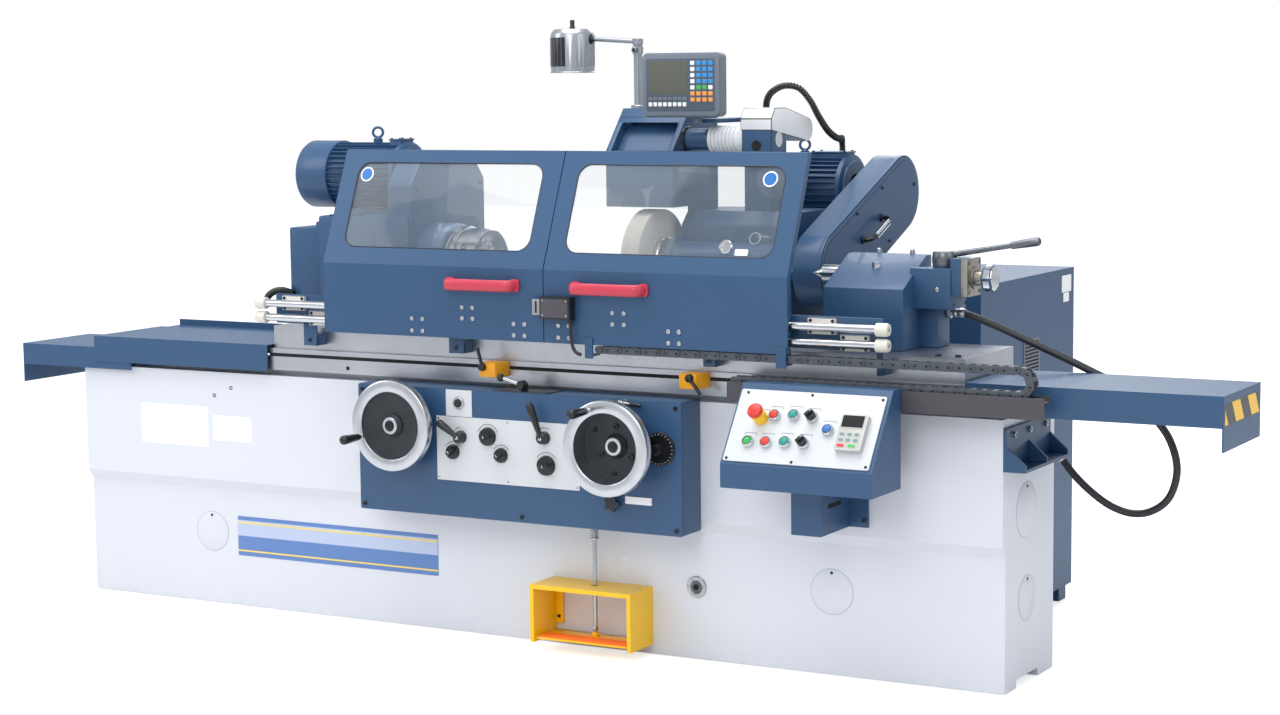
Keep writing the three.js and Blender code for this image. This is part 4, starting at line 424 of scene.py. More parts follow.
# Apron: a box casting on the front of the bed, sprayed blue, with a screw at each corner.
# Its face carries a graduated black dial, a star knob, a small blank plate and a clamp with its handle.
def rod(axis, span, centre, radius, steps=48):
    """A round bar between two places on x, y or z; centre gives the two other coordinates in order."""
    u, v = centre
    start = {"x": (span[0], u, v), "y": (u, span[0], v), "z": (u, v, span[0])}[axis]
    return lathe(axis, start, [(0, radius), (span[1] - span[0], radius)], steps)


# Moulded black plastic: half gloss, with the fine sand grain of the mould.
black = surface("black_plastic", "#191b1e", 0.3, tone=0.15, tone_mm=40, grain_mm=0.9, bump=0.06)
# White anodised sheet: even and half matt.
panel_white = surface("panel_white", "#ccd0d3", 0.36, tone=0.02, tone_mm=300, grain_mm=2.4, bump=0.05)
FACE = -310.3
DIAL, STAR, CLAMP = (591, 598), (449, 441), (484, 719)
star_outline = [on_circle(STAR, 24 * (1 - 0.28 * (0.5 - 0.5 * math.cos(5 * a))), a) for a in turn(80)]
apron_rows = [
    (prism("y", (FACE, -200.3), rounded((-399, 655), (362, 726), 6)), blue, 2.5),
    (prism("y", (-312.4, -310), rounded((481, 564), (441, 462), 2)), vinyl, 0.4),
    (lathe("front", (DIAL[0], -309, DIAL[1]), [(0, 46), (7, 46), (8.5, 44), (8.5, 0)], 72), black),
    (lathe("front", (DIAL[0], -317, DIAL[1]), [(0, 15), (20, 15), (24, 13), (26, 8), (26, 0)], 48), black),
    (slab((60, 236), (-310, -212), (725.5, 729)), black, 0.8),
    (slab((134, 154), (-279.7, -272.7), (725.7, 750)), blue, 1.0),
    (prism("y", (-336.4, -324), star_outline), black, 1.6),
    (rod("y", (-325, -309), STAR, 9), plated),
    (lathe("front", (CLAMP[0], -309, CLAMP[1]), [(0, 9), (22, 9), (30, 8), (32, 5), (32, 0)], 36), plated),
    (tube([(484, -334, 719), (505, -334, 718), (530, -334, 716)], [5, 4.4, 4.2], 20), plated),
    (tube([(512, -334, 717.4), (516, -334, 717), (540, -334, 715.2), (546, -334, 714.8)],
          [5, 6.2, 6.2, 4], 20), black)]
for a in turn(24):
    x, z = on_circle(DIAL, 40, a)
    mark = aimed(lathe("z", (0, 0, 0), [(0, 1.1), (3.4, 1.1)], 10), (x, -317.6, z), (-0.01, -1, 0))
    apron_rows.append((mark, panel_white))
build("apron_casting", "bed", apron_rows, replaces=("apron_housing",))
apron_corners = [(x, FACE, z) for x in (-383, 639) for z in (378, 710)]
screws("apron_screws", "bed", apron_corners + [(150, FACE, 378)], TO_FRONT, 6, 4, black)
screws("apron_nameplate_pins", "bed", [(x, -312.4, 451) for x in (484.5, 560.5)], TO_FRONT, 1.5, 0.6)


# Control plate: white anodised sheet on the apron, wrapping round the handwheels.
# Plain dark arcs stand round the controls, and six small screws hold it.
PLATE, ARC_WIDTH = -312.8, 1.6


def arc_strip(spot, radius, start, end):
    """A flat arc on the plate: the outer arc, then the inner one back, between two angles in degrees."""
    a = np.radians(np.linspace(start, end, 25))
    outer = [on_circle(spot, radius + ARC_WIDTH, t) for t in a]
    inner = [on_circle(spot, radius, t) for t in a[::-1]]
    return prism("y", (PLATE - 0.35, PLATE + 0.2), outer + inner)


dress("apron_panel", panel_white, 0.4)
marks = [(arc_strip(spot, radius, start, end), black) for spot, radius, start, end in [
    ((44, 598), 34, 20, 160), ((-73, 548), 28, 30, 150), ((87, 548), 28, 30, 150), ((234, 529), 36, 35, 145),
    ((-45, 592), 27, 100, 250), ((229, 606), 27, 60, 200)]]
marks.append((slab((-95, -9), (PLATE - 0.3, PLATE + 0.2), (647.4, 648.8)), shade_and_display_black))
build("apron_dial_marks", "bed", marks)
plate_holes = [(-121, 474), (108, 474), (-121, 641), (108, 641), (332, 474), (332, 560)]
screws("apron_plate_screws", "bed", [(x, PLATE - 0.2, z) for x, z in plate_holes], TO_FRONT, 3.2, 1.4)

# Push button on its own small plate: a moulded black cap in a chromed collar.
# The cap is pushed in against a spring.
push_x, push_z = -52, 687
build("apron_button_collar", "bed", [
    (lathe("front", (push_x, PLATE, push_z), [(0, 19), (4, 18), (6, 15.5), (6, 12.6), (0, 12.6)], 48),
     plated)])
build("apron_button", "apron_button_body", [
    (lathe("front", (push_x, -300, push_z), [(0, 11.6), (21, 11.6), (22.6, 10), (22.6, 6), (21.6, 0)], 48),
     black)],
    replaces=("apron_push_button",))

# Handwheels: cast aluminium with a broad flat rim turned to a satin finish, the dish behind left dark grey.
# Each turns on its shaft and has a black moulded crank handle; the right one has a graduated collar.
# Turned and polished cast aluminium: bright, with soft wide highlights.
polished = surface("polished_aluminium", "#c9ccd0", 0.3, metallic=1.0, tone=0.05, tone_mm=40, grain_mm=0.7,
                   bump=0.05)
# Cast iron as it left the sand, oiled: dark and rough.
cast_grey = surface("cast_grey", "#33373c", 0.5, metallic=0.4, tone=0.12, tone_mm=60, grain_mm=2, bump=0.3)
# Blackened turned steel: dark, with a low metal sheen.
collar_steel = surface("collar_steel", "#3c4046", 0.32, metallic=0.7, tone=0.08, tone_mm=30, grain_mm=0.6,
                       bump=0.08)
CRANK_COLLAR = [(0, 9), (5, 9), (6, 7), (14, 7)]
CRANK_GRIP = [(14, 8), (16, 9.6), (24, 10), (44, 11), (66, 12.4), (84, 13.4), (90, 12.4), (94, 9), (96, 4),
              (96.4, 0)]
DISH_BOSS = [(0, 8), (5, 8), (6, 7), (6, 4), (2, 4), (2, 0)]
DISH_HOLE = [(0, 9), (0.8, 9), (0.8, 0)]
WHEEL_BACK = FACE - 0.3


def handwheel(x, z, back, web, hub):
    """Rows for one wheel: rim, dish, hub, ring and socket; back and web are distances off the apron."""
    origin = (x, WHEEL_BACK, z)
    face = web + hub / 2
    rim = [(back, 104), (back, 125), (back + 3, 129), (back + 7, 130), (back + 22, 130), (back + 26, 128.6),
           (back + 28, 125.5), (back + 28, 99), (back + 26.5, 96.5), (back + 22, 96),
           (web + 4, 96), (web, 97), (web, 104), (back, 104)]
    disc = [(web + 6, 97), (web, 66), (web, 34), (web - 5, 34), (web - 5, 66), (web + 1, 97), (web + 6, 97)]
    return [
        (lathe("front", origin, rim, 128), polished), (lathe("front", origin, disc, 112), cast_grey),
        (lathe("front", origin, [(max(0.2, web - hub), 33), (web + 4, 33), (web + 6, 31), (face - 4, 26),
                                 (face - 4, 0)], 72), cast_grey),
        (lathe("front", origin, [(face - 5, 16), (face - 5, 24), (face - 1, 24), (face, 23), (face, 16),
                                 (face - 5, 16)], 64), polished),
        (lathe("front", (x, WHEEL_BACK - face + 4, z), [(0, 9), (3, 9), (3, 5), (0.6, 4), (0.6, 0)], 6),
         black)]


def graduated_collar(x, z, web):
    """Rows for the collar behind the wheel, its 100 marks, and three bosses and three holes in the dish."""
    rows = [(lathe("front", (x, WHEEL_BACK, z), [(20, 40), (20, 74), (22, 76), (64, 76), (66, 74), (66, 40),
                                                 (20, 40)], 120), collar_steel)]
    for k, a in enumerate(turn(100)):
        tall = 16 if k % 10 == 0 else 11 if k % 5 == 0 else 7
        mark_x, mark_z = on_circle((x, z), 76.1, a)
        mark = slab((-0.35, 0.35), (-tall / 2, tall / 2), (-0.2, 0.25))
        spot, way = (mark_x, WHEEL_BACK - 24 - tall / 2, mark_z), (math.cos(a), 0, math.sin(a))
        rows.append((aimed(mark, spot, way), panel_white))
    # The three holes are dark discs of painted shade.
    for a in math.pi / 2 + turn(3):
        boss_x, boss_z = on_circle((x, z), 52, a)
        hole_x, hole_z = on_circle((x, z), 78, a + 1)
        rows += [(lathe("front", (boss_x, WHEEL_BACK - web, boss_z), DISH_BOSS, 32), black),
                 (lathe("front", (hole_x, WHEEL_BACK - web - 2, hole_z), DISH_HOLE, 32), shade_and_display_black)]
    return rows


for label, x, z, back, web, hub, crank_degrees, crank_radius in [
        ("table", -241, 620, 46, 55, 34, 200, 103), ("cross", 498, 610, 112, 74, 40, 116, 112)]:
    rows = handwheel(x, z, back, web, hub)
    if label == "cross":
        rows += graduated_collar(x, z, web)
    crank_x, crank_z = on_circle((x, z), crank_radius, math.radians(crank_degrees))
    rows += [(lathe("front", (crank_x, WHEEL_BACK - back - 27, crank_z), CRANK_COLLAR, 36), plated),
             (lathe("front", (crank_x, WHEEL_BACK - back - 26, crank_z), CRANK_GRIP, 48), black)]
    build(f"{label}_handwheel_dressed", f"{label}_handwheel_body", rows, replaces=(f"{label}_handwheel",))

# Guard rail: a blue backing plate on feet with two hard-chromed rods in ivory plastic holders.
# Caps of the same plastic close the rods' ends; the doors run on the rods.
# Moulded ivory nylon: half matt, with little grain.
ivory = surface("ivory_plastic", "#d8d6cc", 0.4, tone=0.03, tone_mm=60, bump=0.06)
# Hard chrome on ground steel: clear reflections that waver a little.
chrome = surface("bright_steel", "#cfd2d5", 0.14, metallic=1.0, tone=0.04, tone_mm=80, grain_mm=0.6,
                 bump=0.04)
RODS_Y, ROD_RADIUS, ROD_ENDS = -275, 11, (-750, 1212)
UPPER_ROD, LOWER_ROD = 941, 900
RAIL_FRONT, HOLDER_FRONT = -246, -255
CAP = [(-3, 11), (-3, 17.5), (25, 17.5), (30, 15.5), (31, 12), (31, 5), (28, 5), (28, 0)]
CAP_PLUG = [(24, 5), (29.4, 5), (29.4, 2.6), (26, 2.6)]
rail_rows = [(slab((-734, 1212), (RAIL_FRONT, -240), (881, 967)), blue, 1.2)]
for foot in [(-636, -589), (-126, -76), (689, 725), (1195, 1212)]:
    rail_rows += [(slab(foot, (-245.4, -200.3), (818, 849)), blue, 1.5),
                  (slab(foot, (RAIL_FRONT, -240), (818, 893)), blue, 0.8)]
rail_rows += screw_rows([(x, RAIL_FRONT, 834) for x in (-613, -101, 707)], TO_FRONT, 6, 3, black)
for z in (UPPER_ROD, LOWER_ROD):
    rail_rows.append((rod("x", ROD_ENDS, (RODS_Y, z), ROD_RADIUS, 64), chrome))
    for x, way in zip(ROD_ENDS, (-1, 1)):
        for profile, steps, look in ((CAP, 56, ivory), (CAP_PLUG, 20, black)):
            outward = [(along * way, radius) for along, radius in profile]
            rail_rows.append((lathe("x", (x, RODS_Y, z), outward, steps), look))
for middle, z in [(-664, UPPER_ROD), (1043, UPPER_ROD), (-567, LOWER_ROD), (1137, LOWER_ROD)]:
    holder = (middle - 41.5, middle + 41.5)
    rail_rows += [(slab(holder, (HOLDER_FRONT, RAIL_FRONT), (z - 22, z + 22)), ivory, 1.5),
                  (slab(holder, (-265.5, RAIL_FRONT), (z - 4, z + 4)), ivory, 0.8)]
    rail_rows += screw_rows([(middle + u, HOLDER_FRONT, z + v) for u in (-32, 32) for v in (-15, 15)],
                            TO_FRONT, 4.4, 3, black)
build("guard_rail_dressed", "table", rail_rows, replaces=("guard_rail",))


# Cable chain: moulded nylon links with side plates, crossbars and pins, laid in the tray and turned back.
# Its upper end meets the right door and its lower end the table; it is built as one fixed piece that follows
# neither.
# Moulded grey nylon: half matt, scuffed lighter where it rubs.
link_grey = surface("grey_plastic", "#464c54", 0.42, tone=0.08, tone_mm=30, grain_mm=1.0, bump=0.1)


def at_length(points, s):
    """The place at a distance s along a line of points, or one place for each of several distances."""
    measured = lengths(points)
    return np.stack([np.interp(s, measured, points[:, k]) for k in range(points.shape[1])], axis=-1)


def placed(rows, matrix):
    """Rows of (part, material, bevel) with every part put through a matrix."""
    return [(moved(part, matrix), *rest) for part, *rest in rows]


def chain_link(inset):
    """Rows for one link along x: two side plates set in by inset, a pin and two crossbars."""
    side = rounded((-19, 19), (-10.4, 10.4), 8, 4)
    pin = [(0, 10.8), (2.2, 10.8), (2.8, 10.2), (2.8, 7.4), (1.6, 7), (1.6, 3), (2.6, 2.6), (2.6, 0)]
    return [(prism("y", (-295.8 + inset, -293.2 + inset), side), link_grey, 0.5),
            (prism("y", (-264.8 - inset, -262.2 - inset), side), link_grey, 0.5),
            (lathe("front", (15, -293.2, 0), pin, 32), link_grey),
            *[(slab((-6, 6), (-293, -265), (low, low + 2.8)), link_grey, 0.5) for low in (7.6, -10.4)]]


LINK_HALF_HEIGHT, PITCH, BEND_X = 12.5, 30.0, 1598
low_run, high_run = 780.3 + LINK_HALF_HEIGHT, 867.4 - LINK_HALF_HEIGHT
bend_radius, bend_z = (high_run - low_run) / 2, (low_run + high_run) / 2
chain_line = np.array(
    [(x, low_run) for x in np.arange(800, BEND_X, 6.0)]
    + [on_circle((BEND_X, bend_z), bend_radius, a) for a in np.linspace(-math.pi / 2, math.pi / 2, 22)]
    + [(x, high_run) for x in np.arange(BEND_X - 6, 384, -6.0)])
links = []
for k in range(int(lengths(chain_line)[-1] / PITCH)):
    here, a_little_on = at_length(chain_line, np.array([(k + 0.5) * PITCH, (k + 0.5) * PITCH + 2]))
    slope = math.atan2(*(a_little_on - here)[::-1])
    place = Matrix.Translation((here[0], 0, here[1])) @ Matrix.Rotation(-slope, 4, "Y")
    links += placed(chain_link(2.6 if k % 2 else 0), place)
chain = build("cable_chain_dressed", "table", links, replaces=("cable_chain",),
              ride=False)
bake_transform(chain)

# Workhead: grey iron castings, filled and sprayed blue; base, gear boxes and a belt housing.
# The spindle nose is a large turned ring in front of the belt housing.
WORK_Y, WORK_Z = 20, 1056.3
TABLE_TOP = 866.3
SEAT = TABLE_TOP + 0.3
BASE_TOP, HOUSING_FACE = 940, -342
workhead = [
    (slab((-675, -180), (-90, 130), (SEAT, BASE_TOP)), blue, 4),
    (slab((-675, -352), (-110, 200), (928, 1190)), blue, 8),
    (slab((-798, -663), (-90, 170), (BASE_TOP, 1152)), blue, 6),
    (slab((-701, -663), (-89, 169), (BASE_TOP, 1171)), blue, 6),
    (prism("x", (-430, -345), [(-100, 940), (200, 940), (290, 1000), (290, 1290), (225, 1370), (-30, 1370),
                               (-100, 1281)]), blue, 4),
    (prism("x", (-345.2, HOUSING_FACE), [(-90, 950), (194, 950), (278, 1006), (278, 1284), (219, 1360),
                                         (-26, 1360), (-90, 1276)]), blue, 1.2),
    (lathe("x", (-345, WORK_Y, WORK_Z), [(-3, 112), (79, 112), (85, 108), (89, 100), (89, 60), (-3, 60),
                                         (-3, 112)], 112), blue),
    (lathe("x", (-292, WORK_Y, WORK_Z), [(30, 92), (36, 92), (38, 90), (38, 62), (57.6, 60)], 96), chrome),
    (prism("z", (1190, 1193), rounded((-650, -560), (-90, -20), 6)), blue, 0.8),
    (prism("y", (-112.5, -109.8), rounded((-640, -470), (980, 1150), 10)), blue, 0.8)]
housing_holes = [(-74, 966), (-74, 1268), (262, 1276), (262, 1014), (100, 1350)]
workhead += screw_rows([(HOUSING_FACE, y, z) for y, z in housing_holes], TO_RIGHT, 5, 4, black)
workhead += screw_rows([(x, y, BASE_TOP) for x in (-300, -205) for y in (-70, 110)], TO_TOP, 7, 6, black)
lead = smooth_path([(-780, -100, 952), (-800, -100, 958), (-824, -100, 962), (-850, -100, 958),
                    (-872, -100, 946), (-886, -100, 928)], 24)
workhead.append((tube(lead, 9.9 + 1.1 * np.cos(np.arange(len(lead)) * math.pi / 3), 24), black))
build("workhead_dressed", "table", workhead, replaces=("headstock_body",))


# Workhead motor: flange motor with a pressed fan cover and cast fins, sprayed blue.
# It stands on feet over the gear box, with a ring bolt on its barrel and a terminal box beside that.
def motor(name, body, replaced, ends, centre, radius, cover, floor, eye_x, box_x, shaft):
    """A finned motor along x: fan cover, finned barrel, end bell, feet, terminal box and lifting eye."""
    (x0, x1), (y, z) = ends, centre
    core, top = radius - 13, z + radius
    barrel, fins = x0 + cover, (x0 + cover + 4, x1 - 24)
    rows = [
        (lathe("x", (x0, y, z), [(0, radius * 0.55), (2, radius * 0.86), (8, radius * 0.95), (16, radius),
                                 (cover, radius), (cover + 1, radius - 3), (cover + 1, core)], 96), blue),
        (lathe("x", (barrel - 6, y, z), [(0, core), (x1 - barrel - 14, core), (x1 - barrel - 8, core - 4),
                                         (x1 - barrel + 6, core - 10)], 96), blue),
        (lathe("x", (x1 - 22, y, z), [(0, radius - 4), (14, radius - 4), (18, radius - 14),
                                      (22, radius * 0.45), (22, 0)], 96), blue),
        (rod("x", (x1 - 4, x1 + shaft), (y, z), 14, 40), chrome)]
    fin = prism("x", fins, [(-1.7, core - 4), (1.7, core - 4), (1.1, radius - 2.5), (-1.1, radius - 2.5)])
    for a in math.pi / 36 + turn(36):
        if math.radians(15) <= a <= math.radians(345):
            rows.append((moved(fin, Matrix.Translation((0, y, z)) @ Matrix.Rotation(-a, 4, "X")), blue))
    for ring in np.linspace(radius * 0.12, radius * 0.5, 5):
        rows.append((lathe("x", (x0 + 0.4, y, z), [(-0.9, ring), (1.4, ring), (1.4, ring + 3.2),
                                                   (-0.9, ring + 3.2), (-0.9, ring)], 72), blue))
    spoke = slab((x0 - 0.6, x0 + 1.8), (-radius * 0.56, radius * 0.56), (-1.6, 1.6))
    for a in turn(12)[:6]:
        rows.append((moved(spoke, Matrix.Translation((0, y, z)) @ Matrix.Rotation(a, 4, "X")), blue))
    rows += [(slab((barrel + 24, x1 - 24), (y - 62, y + 62), (floor, floor + 12)), blue, 2),
             (slab((barrel + 30, barrel + 60), (y - 50, y + 50), (floor, z - core * 0.7)), blue, 3),
             (slab((x1 - 60, x1 - 30), (y - 50, y + 50), (floor, z - core * 0.7)), blue, 3),
             (slab((box_x, x1 - 16), (y - 34, y + 34), (z + core * 0.7, top + 3)), blue, 5),
             (slab((box_x - 2, x1 - 14), (y - 36, y + 36), (top + 1, top + 6)), blue, 2),
             (lathe("z", (eye_x, y, z + core - 2), [(0, 14), (radius - core + 8, 14), (radius - core + 10, 9),
                                                    (radius - core + 14, 7)], 36), blue)]
    eye = [on_circle((0, top + 25), 15, a) for a in np.linspace(0, 2 * math.pi, 41)]
    across, back = math.cos(math.pi / 6), math.sin(math.pi / 6)
    rows.append((tube([(eye_x + u * across, y + u * back, v) for u, v in eye], 4, 16), blue))
    box_corners = [(box_x + u, y + v, top + 6) for u in (5, x1 - 23 - box_x) for v in (-28, 28)]
    rows += screw_rows(box_corners, TO_TOP, 4, 3, black)
    build(name, body, rows, replaces=(replaced,))


motor("workhead_motor", "table", "headstock_motor", ends=(-859, -487), centre=(115, 1304), radius=102,
      cover=122, floor=1190.3, eye_x=-610, box_x=-545, shaft=56)

# Chuck: three-jaw scroll chuck turned from steel, with hardened jaws that are stepped and ground.
# It is screwed to the spindle nose; three square keyholes turn its scroll.
# Turned and polished steel: bright, with fine rings.
chuck_steel = surface("chuck_steel", "#b3b6ba", 0.2, metallic=1.0, tone=0.06, tone_mm=24, grain_mm=0.7,
                      bump=0.08)
chuck_rows = [(lathe("x", (-234, WORK_Y, WORK_Z), [
    (0, 103), (12, 103), (14, 101), (14, 94), (18, 94), (18, 96), (20, 98), (82, 98), (86, 94),
    (86, 60), (84, 56), (84, 28), (70, 26), (50, 26), (50, 0)], 128), chuck_steel)]
jaw = [(slab((-160, -148 + proud), (low, high), (-12.5, 12.5)), chuck_steel, 1.0)
       for low, high, proud in ((34, 50, 16), (50, 68, 10), (68, 84, 5))]
# Each keyhole is a dark square of painted shade.
keyhole = [(lathe("z", (-190, 0, 0), [(95.6, 11), (98.6, 11), (98.6, 7), (96, 7), (95.8, 0)], 4), shade_and_display_black)]
for a in turn(3):
    spin = Matrix.Translation((0, WORK_Y, WORK_Z)) @ Matrix.Rotation(a, 4, "X")
    chuck_rows += placed(jaw, spin) + placed(keyhole, spin @ Matrix.Rotation(math.pi / 3, 4, "X"))
build("chuck_dressed", "chuck_body", chuck_rows, replaces=("chuck",))

# Tailstock: cast iron housing with a sloping top, sprayed blue, with a square plug and two plated oil cups.
# A box at its end carries the retracting lever; a ground flange and an eight-sided knob close the sleeve.
# Ground steel that oil has warmed a little in colour.
flange_steel = surface("flange_steel", "#a29e94", 0.34, metallic=1.0, tone=0.08, tone_mm=40, grain_mm=0.8,
                       bump=0.12)
FLANGE_FACE = 1358
tail = [
    (prism("x", (974, 1205), [(-100, SEAT), (94, SEAT), (94, 1110), (60, 1110), (-100, 1030)]), blue, 5),
    (slab((1193, 1255), (20, 100), (SEAT, 984)), blue, 4),
    (slab((1193, 1316), (-30, 66), (974, 1082)), blue, 4),
    (slab((1308, 1337), (-30, 62), (1008, 1109)), blue, 2),
    (slab((1337, FLANGE_FACE), (-30, 62), (1008, 1109)), flange_steel, 1.5),
    (lathe("x", (1356, WORK_Y, WORK_Z), [(0, 30), (6, 30), (7, 28), (7, 21), (28, 21), (28, 0)], 64),
     flange_steel),
    (lathe("x", (1382, WORK_Y, WORK_Z),
           [(0, 24), (4, 33), (8, 36), (29, 36), (33, 32), (35, 26), (35, 0)], 8), chrome, 2),
    (lathe("z", (1084, 0, 1068), [(0, 20), (4, 20), (5, 18), (5, 13), (22, 13), (24, 10), (24, 0)], 4),
     plated, 0.8),
    (lathe("front", (1272, -30, 1026), [(-1, 6), (2, 6), (3, 4.6), (3, 2.4), (1, 2.4)], 28), plated),
    (lathe("x", (1255, 80, 957), [(0, 13), (10, 13), (10, 10), (18, 10)], 6), plated, 0.6)]
oil_cup = [(0, 8), (6, 8), (6, 6.5), (13, 6.5), (16, 4), (16, 0)]
flange_hole = [(-1, 5.4), (0.3, 5.4), (0.3, 3), (-0.6, 3)]
box_hole = [(-1, 5), (0.4, 5), (0.4, 3), (-0.6, 3)]
tail += [(lathe("z", (x, 78, 1108), oil_cup, 32), plated) for x in (1058, 1156)]
# The flange's and the box's holes are dark discs of painted shade.
tail += [(lathe("x", (FLANGE_FACE, y, z), flange_hole, 24), shade_and_display_black)
         for y in (-20, 52) for z in (1020, 1097)]
tail += [(lathe("x", (1316, y, 986), box_hole, 24), shade_and_display_black) for y in (-24, 58)]
build("tailstock_dressed", "table", tail, replaces=("tailstock_body",))
build("tailstock_quill_dressed", "quill_body", [
    (lathe("x", (888, WORK_Y, WORK_Z),
           [(0, 0.3), (21, 12), (32, 12), (32, 16), (33, 23), (36, 24), (262, 24)], 80), chrome)],
    replaces=("tailstock_quill",))

# Retracting lever: a gunmetal hub with a straight turned arm that ends in a thicker grip.
# It turns on the tailstock's box, draws the sleeve back, and has a black plug in its tip.
# Oiled gunmetal: a middle grey with soft highlights.
gunmetal = surface("gunmetal", "#70747a", 0.32, metallic=0.8, tone=0.06, tone_mm=40, grain_mm=0.8, bump=0.08)
hub_spot = (1272, WORK_Y, 1082.3)
arm_start = np.array([1272, WORK_Y, 1112.5])
arm_way = np.array([1538, WORK_Y, 1157]) - arm_start
arm_way /= np.linalg.norm(arm_way)


def on_arm(distances):
    """Places along the lever's arm, measured from the middle of its hub."""
    return arm_start + np.array(distances, float)[:, None] * arm_way


build("tailstock_lever_dressed", "retract_lever_body", [
    (lathe("z", hub_spot, [(0, 30), (14, 33), (26, 33), (38, 31), (41.4, 29), (41.4, 0)], 72), gunmetal),
    (tube(on_arm([20, 40, 120, 190]), [9, 8.4, 7.4, 7], 28), gunmetal),
    (tube(on_arm([188, 190, 198, 236, 262, 268, 270]), [7, 9.6, 10.4, 11.6, 12, 10, 7], 32), gunmetal),
    (aimed(rod("z", (0, 1.5), (0, 0), 6, 24), on_arm([269])[0], arm_way), black)],
    replaces=("tailstock_lever",))


# Wheelhead: cast saddle and housing, sprayed blue, with the sheet hood over the wheel and a square riser.
# The riser carries the readout's bar; a corrugated lead runs over to the wheel motor.
def leaning(spot, lean):
    """Matrix for a sheet that leans back by an angle: x along it, y up it and z out of its front."""
    s, c = math.sin(lean), math.cos(lean)
    return Matrix.Translation(spot) @ Matrix(((1, 0, 0, 0), (0, s, -c, 0), (0, c, s, 0), (0, 0, 0, 1)))


WHEEL_Y = 262
wheelhead = [
    (slab((170, 690), (260, 940), (760.3, 850.6)), blue, 5),
    (prism("x", (330, 690), [(300, 838), (900, 838), (900, 1120), (600, 1120), (560, 1200), (340, 1200),
                             (300, 1160)]), blue, 5),
    (lathe("x", (326, WHEEL_Y, WORK_Z), [(4, 70), (10, 74), (22, 74), (24, 58), (366, 58), (366, 32)], 96),
     blue),
    (slab((330, 364), (340, 470), (1188, 1227)), blue, 3),
    (slab((678, 759.7), (470, 560), (1080, 1150)), blue, 3),
    (slab((512, 600), (350, 450), (1188, 1472)), blue, 4),
    (slab((470, 524), (150, 450), (1458, 1470)), blue, 1.5)]
# The hood is a folded box whose sloping front holds a recessed blue panel with round upper corners.
HOOD_FRONT, HOOD_BEND, HOOD_TOP, HOOD_RIDGE, CORNER = 190, 1377, 1498, 295, 22
recess = leaning((0, HOOD_FRONT, HOOD_BEND), math.atan2(HOOD_RIDGE - HOOD_FRONT, HOOD_TOP - HOOD_BEND))
hood_rise = math.hypot(HOOD_RIDGE - HOOD_FRONT, HOOD_TOP - HOOD_BEND)
cheek = [(190.4, 1377), (469.8, 1377), (469.8, 1497.7), (295.2, 1497.7)]
# A thin dark strip along the top of the recessed panel is painted shade under the fold.
wheelhead += [
    (prism("x", (142, 364), [(190, 1215), (470, 1215), (470, 1376.8), (190, 1376.8)]), blue, 2),
    (prism("x", (142.3, 159), cheek), blue, 1),
    (prism("x", (347, 363.7), cheek), blue, 1),
    (prism("x", (150, 356), [(230, 1377), (469, 1377), (469, 1496), (334, 1496)]), blue),
    (prism("x", (142, 364), [(259.7, 1457.3), (470, 1457.3), (470, 1498), (295, 1498)]), blue, 2),
    (moved(slab((144, 362), (hood_rise - 34.2, hood_rise - 32.8), (-0.2, 0.4)), recess), shade_and_display_black)]
for corner_x, inward in ((159, 1), (347, -1)):
    arc = [on_circle((0, hood_rise - 65), CORNER, a) for a in np.linspace(0, math.pi / 2, 9)]
    fillet = [(corner_x, hood_rise - 43)] + [(corner_x + inward * (CORNER - u), v) for u, v in arc]
    wheelhead.append((moved(prism("z", (-30, -0.4), fillet), recess), blue))
lead = smooth_path([
    (560, 402, 1466), (560, 398, 1492), (576, 374, 1522), (610, 345, 1546), (650, 335, 1560),
    (690, 342, 1554), (716, 362, 1520), (728, 392, 1476), (732, 440, 1436), (726, 500, 1414),
    (710, 570, 1404), (686, 640, 1402), (660, 700, 1400), (648, 728, 1390), (647, 733, 1376),
    (647, 733, 1362)], 24)
lead = at_length(lead, np.arange(0, lengths(lead)[-1], 1.6))
wheelhead.append((tube(lead, 8.9 + 1.1 * np.cos(np.arange(len(lead)) * 2 * math.pi / 5), 20), black))
build("wheelhead_dressed", "wheelhead", wheelhead, replaces=("wheelhead_body",))
motor("wheelhead_motor", "wheelhead", "wheel_motor", ends=(400, 690), centre=(733, 1245), radius=110,
      cover=80, floor=1120.3, eye_x=523, box_x=560, shaft=140)


# Belt guard: a sheet steel box with round ends and a raised rim, sprayed blue.
# Five screws hold its lid, which carries a black moulded pull handle with a light face.
PULLEYS = ((WHEEL_Y, 1045), (733, 1240))
belt_tilt = math.atan2(PULLEYS[1][1] - PULLEYS[0][1], PULLEYS[1][0] - PULLEYS[0][0])


def capsule(radius):
    """Two half circles round the pulley centres, joined by straight sides along the belt."""
    half = np.linspace(0, math.pi, 40)
    rear = [on_circle(PULLEYS[1], radius, belt_tilt - math.pi / 2 + a) for a in half]
    return rear + [on_circle(PULLEYS[0], radius, belt_tilt + math.pi / 2 + a) for a in half]


LID_X = 850
